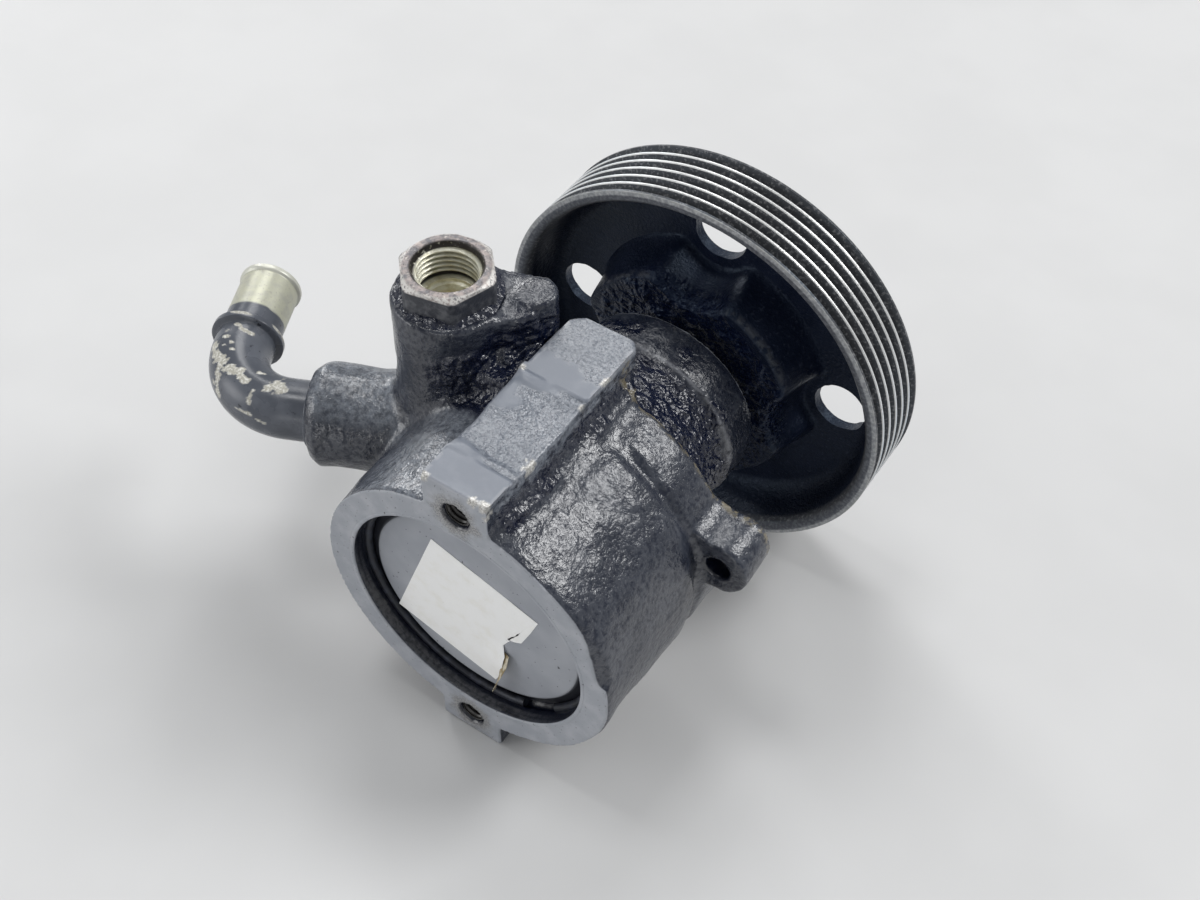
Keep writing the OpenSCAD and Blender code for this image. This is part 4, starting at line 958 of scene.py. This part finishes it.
def outlet_union():
    """Hexagon with worn corners, a real pipe thread, the cone seat and the screwed body below."""
    q = UNION
    segments = 216
    sector = np.radians((np.degrees(turns(segments)) - q.turn) % 60 - 30)
    flats = q.flats / 2 / np.cos(sector)
    corners = q.flats / math.sqrt(3) - q.corner
    rings, masks, root_shades = [], [], []
    for z, form, size, mask in union_rows():
        radii, root = np.full(segments, size), np.zeros(segments)
        if form == "hexagon":
            radii = np.minimum(flats, corners - size)
        elif form == "thread":
            turn = ((z - q.top) / q.pitch - np.arange(segments) / segments) % 1.0
            root = 1 - ramp(np.abs(turn - 0.5) * 2, 0.18, 0.82)
            radii = q.thread_r - 0.68 + 0.78 * root
        rings.append(valve_ring(radii, z))
        masks += [mask] * segments
        root_shades.append(root)
    obj = ring_solid("outlet_fitting", rings)
    # Thread roots, for their painted shade
    set_masks(obj.data, root=np.concatenate(root_shades))
    for name in ("top", "rim", "soot", "thread", "deep"):
        set_masks(obj.data, **{name: np.array([name in m.split() for m in masks], float)})
    p = vertex_points(obj.data)
    worn = 0.012 * value_noise(p, 2.2, 25) * np.array([m.startswith("top") for m in masks])
    p[:, :2] += (p[:, :2] - np.array(VALVE_AXIS)) * worn[:, None]
    set_points(obj.data, p)
    return finished(obj, 38, union_steel())


def union_dirt():
    """Paint and dirt packed between the hexagon and the boss face."""
    segments = 160
    inner_r = UNION.body_r + 0.1
    outline = ((inner_r, -0.3), (13.0, -0.3), (13.1, 0.1), (12.5, 0.35), (11.9, 0.75), (11.2, 1.3),
               (inner_r, 1.4))
    obj = ring_solid("union_dirt", [valve_ring([r] * segments, VALVE_TOP + h) for r, h in outline])
    mesh = obj.data
    p = vertex_points(mesh)
    out = ramp(p[:, 2], VALVE_TOP, VALVE_TOP + 0.3)
    p[:, 2] += out * (0.35 * value_noise(p, 2.6, 26) + 0.2 * value_noise(p, 1.2, 27))
    p[:, :2] += (p[:, :2] - np.array(VALVE_AXIS)) * (0.02 * value_noise(p, 3.0, 28))[:, None]
    set_points(mesh, p)
    set_masks(mesh, grime=np.full(len(p), 0.85))
    return finished(obj, 70, bpy.data.materials["cast_paint"])


# Suction tube

INLET = SimpleNamespace(
    root=Vector((-33.5, 39.7, 11.0)), angle=25.0, reach=35.0, seat=12.0, lead=7.6, bend_r=17.6, bend=91.0,
    spigot=25.0, tube_r=8.0, wall=1.4, collar_from=3.0, collar_w=2.6, bead=1.2, collar=1.8, end_bead=0.6,
    bare_from=4.6)
# Strokes of missing paint: start, end and half width
TUBE_CHIPS = (
    ((-98.7, 23.9, 16.3), (-92.1, 19.5, 17.7), 1.5), ((-92.1, 19.5, 17.7), (-90.7, 16.0, 15.2), 1.5),
    ((-90.7, 16.0, 15.2), (-88.7, 13.9, 12.3), 1.0), ((-90.4, 18.1, 17.5), (-84.9, 20.3, 18.9), 1.1),
    ((-87.9, 19.7, 18.6), (-82.0, 18.0, 18.7), 1.0), ((-75.8, 20.0, 19.0), (-72.5, 20.7, 18.9), 1.4),
    ((-74.9, 22.5, 18.8), (-72.5, 20.7, 18.9), 1.1), ((-78.7, 16.7, 18.2), (-78.3, 14.4, 16.6), 0.6),
    ((-82.2, 12.7, 13.6), (-76.9, 12.8, 14.0), 0.3), ((-76.9, 12.8, 14.0), (-72.3, 13.4, 12.8), 0.35),
    ((-97.6, 31.6, 18.9), (-96.2, 31.8, 18.9), 0.45), ((-98.8, 28.4, 18.3), (-97.6, 29.6, 18.3), 0.45),
    ((-97.6, 27.0, 18.5), (-96.2, 27.4, 18.5), 0.45), ((-95.2, 31.2, 18.9), (-92.3, 31.6, 18.2), 0.55),
    ((-95.8, 24.3, 18.4), (-95.0, 24.7, 18.4), 0.6), ((-94.3, 26.0, 18.8), (-93.6, 26.2, 18.8), 0.5),
    ((-92.6, 24.2, 18.9), (-92.0, 24.4, 18.9), 0.45), ((-81.0, 22.2, 18.7), (-79.4, 22.8, 18.7), 0.5),
)


def stroke_distance(points, start, end):
    """How far each point lies from a straight stroke."""
    a, b = np.array(start), np.array(end)
    t = np.clip((points - a) @ (b - a) / ((b - a) @ (b - a)), 0, 1)
    return np.linalg.norm(points - a - t[:, None] * (b - a), axis=1)


def tube_line():
    """Place and direction along the tube's centre line, and the lengths to its bead, collar and end."""
    q = INLET
    out = math.radians(180 + q.angle)
    ahead = Vector((math.cos(out), math.sin(out), 0))
    side = Vector((ahead.y, -ahead.x, 0))
    start = q.reach - q.seat + 0.3
    straight = q.reach + q.lead - start
    bend = math.radians(q.bend)
    centre = q.root + ahead * (start + straight) + side * q.bend_r

    def at(s):
        if s < straight:
            return q.root + ahead * (start + s), ahead
        t = min((s - straight) / q.bend_r, bend)
        direction = ahead * math.cos(t) + side * math.sin(t)
        place = centre + (ahead * math.sin(t) - side * math.cos(t)) * q.bend_r
        return place + direction * max(0.0, s - straight - bend * q.bend_r), direction

    bent = straight + bend * q.bend_r
    return at, q.reach - start, bent + q.collar_from, bent + q.spigot


def bump_profile(s, low, high, edge):
    """1 between low and high, rounded off over the edge length at both ends."""
    t = min((s - low) / edge, (high - s) / edge, 1.0)
    return math.sin(max(t, 0.0) * math.pi / 2)


def suction_tube():
    """Bent tube with its stop bead, flared collar and beaded nipple."""
    q = INLET
    at, stop, collar, total = tube_line()
    collar_end = collar + q.collar_w
    segments = 144
    up = Vector((0, 0, 1))

    def ring(s, r):
        place, direction = at(s)
        side = direction.cross(up)
        return [tuple(place + (side * math.cos(a) + up * math.sin(a)) * r) for a in turns(segments)]

    spans = ((0, total, 0.36), (stop - 1, stop + 3, 0.2), (collar - 1.2, collar_end + 1, 0.16),
             (total - 3, total, 0.15))
    sections = []
    for s in sorted({s for span in spans for s in np.arange(*span)} | {total}):
        r = q.tube_r + q.bead * bump_profile(s, stop + 0.02, stop + 1.6, 0.5)
        r += (q.collar - 0.02) * bump_profile(s, collar - 0.1, collar_end, 0.7)
        r += (q.end_bead - 0.02) * bump_profile(s, total - 2.2, total + 0.8, 0.9)
        r -= 0.5 * max(0.0, (s - total + 0.5) / 0.5) ** 2
        sections.append((s, r))
    inner = q.tube_r - q.wall
    sections += [(total, inner + 0.4), (total - 0.4, inner)]
    sections += [(s, inner) for s in np.arange(total - 1, 0, -1.5)] + [(0.0, inner)]
    obj = ring_solid("suction_pipe", [ring(s, r) for s, r in sections])
    mesh = obj.data
    p = vertex_points(mesh)
    s = np.repeat([s for s, _ in sections], segments)
    chip = np.max([1 - stroke_distance(p, a, b) / (2 * half) for a, b, half in TUBE_CHIPS], axis=0)
    ragged = 0.35 * value_noise(p, 1.6, 12) + 0.25 * value_noise(p, 0.8, 13)
    chip = ramp(chip + ragged, 0.44, 0.52)
    rub = np.array([bump_profile(v, collar + 0.5, collar_end + 0.3, 0.9) for v in s])
    rub = ramp(rub + 0.5 * value_noise(p, 2.0, 14) + 0.03 * (p[:, 2] - 17), 0.95, 1.1)
    bare_from = collar_end + q.bare_from
    set_masks(mesh, chip=np.maximum(chip, 0.8 * rub), bead=s > total - 2.2,
              bare=ramp(s + 0.25 * value_noise(p, 1.5, 15), bare_from, bare_from + 0.5))
    return finished(obj, 50, tube_paint())


# Threads of the bolt holes

def hole_thread(name, z, material):
    """The wall of a rear threaded hole with its thread, just inside the drilled wall."""
    pitch, segments = 1.25, 72
    rows = np.arange(1.0, REAR_HOLE_DEPTH - 0.3, pitch / 8)
    rings = []
    for y in rows:
        crest = 0.5 + 0.5 * np.cos(2 * math.pi * y / pitch - turns(segments))
        rings.append(ring_y(REAR_HOLE_R - 0.08 - 0.42 * crest, y, z))
    rings += [ring_y([REAR_HOLE_R - 0.03] * segments, y, z) for y in (rows[-1], rows[0])]
    return finished(ring_solid(name, rings), 60, material)


# Blank torn label on the end cover

LABEL = ((-12.2, 19.1), (18.5, 9.5), (16.2, 3.4), (13.4, -3.2), (11.4, -4.4), (8.6, -5.4), (7.9, -8.6),
         (8.8, -12.2), (8.2, -17.0), (6.6, -23.2), (4.9, -27.0), (-25.4, -18.2))
TEAR_AT = (9.5, -16.0)
STRIP_LINE = ((8.6, 4.7, -11.5), (8.9, 3.6, -15.0), (8.0, 2.5, -19.5), (7.0, 2.2, -24.0), (5.4, 3.2, -29.5))
PAPER_THICKNESS = 0.1


def label():
    """A blank paper label, torn at its corner and lifting a little along the tear."""
    bm = bmesh.new()
    bm.faces.new([bm.verts.new((x * MM, (COVER_Y - 0.06) * MM, z * MM)) for x, z in LABEL])
    bmesh.ops.triangulate(bm, faces=bm.faces)
    for _ in range(5):
        bmesh.ops.subdivide_edges(bm, edges=[e for e in bm.edges if e.calc_length() > 1.1 * MM], cuts=1)
        bmesh.ops.triangulate(bm, faces=bm.faces)
    mesh = bpy.data.meshes.new("blank_label")
    bm.to_mesh(mesh)
    bm.free()
    obj = add_object("blank_label", mesh)
    p = vertex_points(mesh)
    from_tear = np.linalg.norm(p[:, [0, 2]] - np.array(TEAR_AT), axis=1)
    p[:, 1] -= 1.6 * (1 - ramp(from_tear, 0.0, 9.0)) + 0.12 * np.clip(value_noise(p, 7.0, 16), 0, 1)
    set_points(mesh, p)
    thicken(obj, PAPER_THICKNESS)
    return finished(obj, 50, paper())


def label_strip():
    """The torn strip of the label, curling away from the cover."""
    line = [Vector(v) for v in STRIP_LINE]
    verts, steps = [], 28
    for k in range(steps + 1):
        t = k / steps * (len(line) - 1)
        i = min(int(t), len(line) - 2)
        f = t - i
        f = f * f * (3 - 2 * f)
        centre = line[i] * (1 - f) + line[i + 1] * f
        turn = math.radians(20 + 75 * k / steps)
        half = 1.5 * (1 - 0.65 * (k / steps) ** 3)
        across = Vector((math.cos(turn), -math.sin(turn), 0.12)) * half
        verts += [centre + across * u for u in (-1, -0.5, 0, 0.5, 1)]
    faces = [(5 * k + j, 5 * k + j + 1, 5 * k + j + 6, 5 * k + j + 5) for k in range(steps) for j in range(4)]
    obj = new_object("label_strip", verts, faces)
    thicken(obj, PAPER_THICKNESS)
    return finished(obj, 60, paper_back())


# Build the dressed pieces

def dress(obj, body, slot, *nodes):
    """Puts a piece on its body and hides the nodes that it stands for; the slot is not used."""
    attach(obj, body)
    if nodes:
        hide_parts(*nodes)


def coil_spring(name, node, body, material):
    """A copy of a coil spring's mesh with its material, put on its body in place of the node."""
    obj = add_object(name, NODES[node].data.copy())
    coat(obj.data, material)
    dress(obj, body, "spring_steel", node)
    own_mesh(obj)


dress(casting(), "housing", "cast_black", "pump_housing")
dress(belt_pulley(), "rotating_group", "pulley_black", "pulley")
dress(outlet_union(), "housing", "union_steel", "outlet_union")
dress(suction_tube(), "housing", "tube_black", "suction_tube")
thread_steel = oiled_steel("thread_steel", (0.05, 0.048, 0.046), 0.3)
dress(hole_thread("upper_thread", REAR_HOLE_Z, thread_steel), "housing", "cast_black")
dress(hole_thread("lower_thread", -REAR_HOLE_Z, thread_steel), "housing", "cast_black")
dress(union_dirt(), "housing", "cast_black")
dress(bore_lip(), "housing", "cast_black")
dress(label(), "housing", "cover_grey")
dress(label_strip(), "housing", "cover_grey")

spring = oiled_steel("spring_steel", (0.08, 0.085, 0.1), 0.3)
FINISH = (
    (metal("machined_steel", (0.55, 0.55, 0.56), 0.3), (
        "drive_shaft", "thrust_plate", "cam_ring", "rotor", "pressure_plate", "relief_ball_guide",
        "relief_plug")),
    (metal("ground_steel", (0.66, 0.66, 0.67), 0.18), (
        "bearing_outer_race", "bearing_inner_race", "bearing_balls", "vanes", "dowel_pins",
        "flow_control_spool", "relief_ball")),
    (metal("bronze", (0.6, 0.44, 0.22), 0.36), ("shaft_bush", "bearing_cage")),
    (rubber(), ("shaft_seal", "pressure_plate_seal", "end_cover_seal", "outlet_union_seal")),
    (spring, ("bearing_retaining_ring", "rotor_retaining_ring", "pressure_plate_spring")),
    (oiled_steel("oiled_wire", (0.014, 0.016, 0.023), 0.4), ("end_cover_retaining_ring",)),
    (cover_paint(), ("end_cover",)),
)
for finish, node_names in FINISH:
    for node_name in node_names:
        coat(NODES[node_name].data, finish)
coil_spring("control_coil", "flow_control_spring", "housing", spring)
coil_spring("relief_coil", "relief_spring", "control_spool", spring)


# Stage: pale floor under the lug and the pulley rim, soft light and the photograph's camera

FLOOR_AT_REAR = -48.6
FLOOR_AT_RIM = -58.1
FLOOR_SIZE = 6.0
ROOM_COLOUR = (0.96, 0.98, 1.0, 1)
ROOM_LIGHT = 0.37
PART_MIDDLE = Vector((0, 0.05, 0.02))
LIGHT_DISTANCE = 2.6
# Name, direction from the part, size in metres and power in watts
SOFTBOXES = (
    ("back_left", (-0.38, 0.52, 0.76), 1.0, 16.0), ("back_right", (0.5, 0.52, 0.68), 1.0, 33.0),
    ("left", (-0.82, 0.5, 0.3), 0.7, 14.0), ("overhead", (-0.25, 0.0, 0.97), 0.6, 10.0),
    ("front_left", (-0.75, -0.6, 0.3), 1.2, 15.0), ("front", (0.25, -0.95, 0.25), 0.3, 4.0),
)
CAMERA_AT = (144.2, -165.38, 323.85)
CAMERA_AIM = (4.55, 51.13, 17.88)
CAMERA_ROLL = 1.57
FOCAL_PIXELS = 1616.4
IMAGE_WIDTH = 1200
SENSOR = 36.0


def stage_floor():
    """A pale floor that slopes from the lug to the pulley's rim, as the part leans on it."""
    slope = math.atan2(FLOOR_AT_RIM - FLOOR_AT_REAR, PULLEY.rim_y)
    bpy.ops.mesh.primitive_plane_add(
        size=FLOOR_SIZE, location=(0, 0, FLOOR_AT_REAR * MM), rotation=(slope, 0, 0))
    floor = bpy.context.object
    floor.name = "floor"
    p = Paint("floor_white", roughness=0.6)
    p.set("Base Color", p.mix(p.span(p.noise(60, 3), 0.35, 0.65), (0.63, 0.63, 0.63), (0.65, 0.65, 0.65)))
    floor.data.materials.append(p.material)


def light():
    """An even pale room with soft windows behind, above and in front of the part."""
    world = bpy.data.worlds.new("studio")
    bpy.context.scene.world = world
    world.use_nodes = True
    back = world.node_tree.nodes["Background"]
    back.inputs["Color"].default_value = ROOM_COLOUR
    back.inputs["Strength"].default_value = ROOM_LIGHT
    for name, way, size, power in SOFTBOXES:
        data = bpy.data.lights.new(name, "AREA")
        data.size = size
        data.energy = power
        obj = add_object(name, data)
        obj.location = PART_MIDDLE + Vector(way).normalized() * LIGHT_DISTANCE
        obj.rotation_euler = (PART_MIDDLE - obj.location).to_track_quat("-Z", "Y").to_euler()


def camera():
    """The photograph's camera."""
    data = bpy.data.cameras.new("camera")
    data.sensor_width = SENSOR
    data.lens = SENSOR * FOCAL_PIXELS / IMAGE_WIDTH
    data.clip_start = 0.01
    obj = add_object("camera", data)
    place, aim = Vector(CAMERA_AT) * MM, Vector(CAMERA_AIM) * MM
    turn = (aim - place).to_track_quat("-Z", "Y").to_matrix().to_4x4()
    obj.matrix_world = Matrix.Translation(place) @ turn @ Matrix.Rotation(math.radians(CAMERA_ROLL), 4, "Z")
    bpy.context.scene.camera = obj


stage_floor()
light()
camera()
bpy.context.scene.view_settings.view_transform = "Standard"
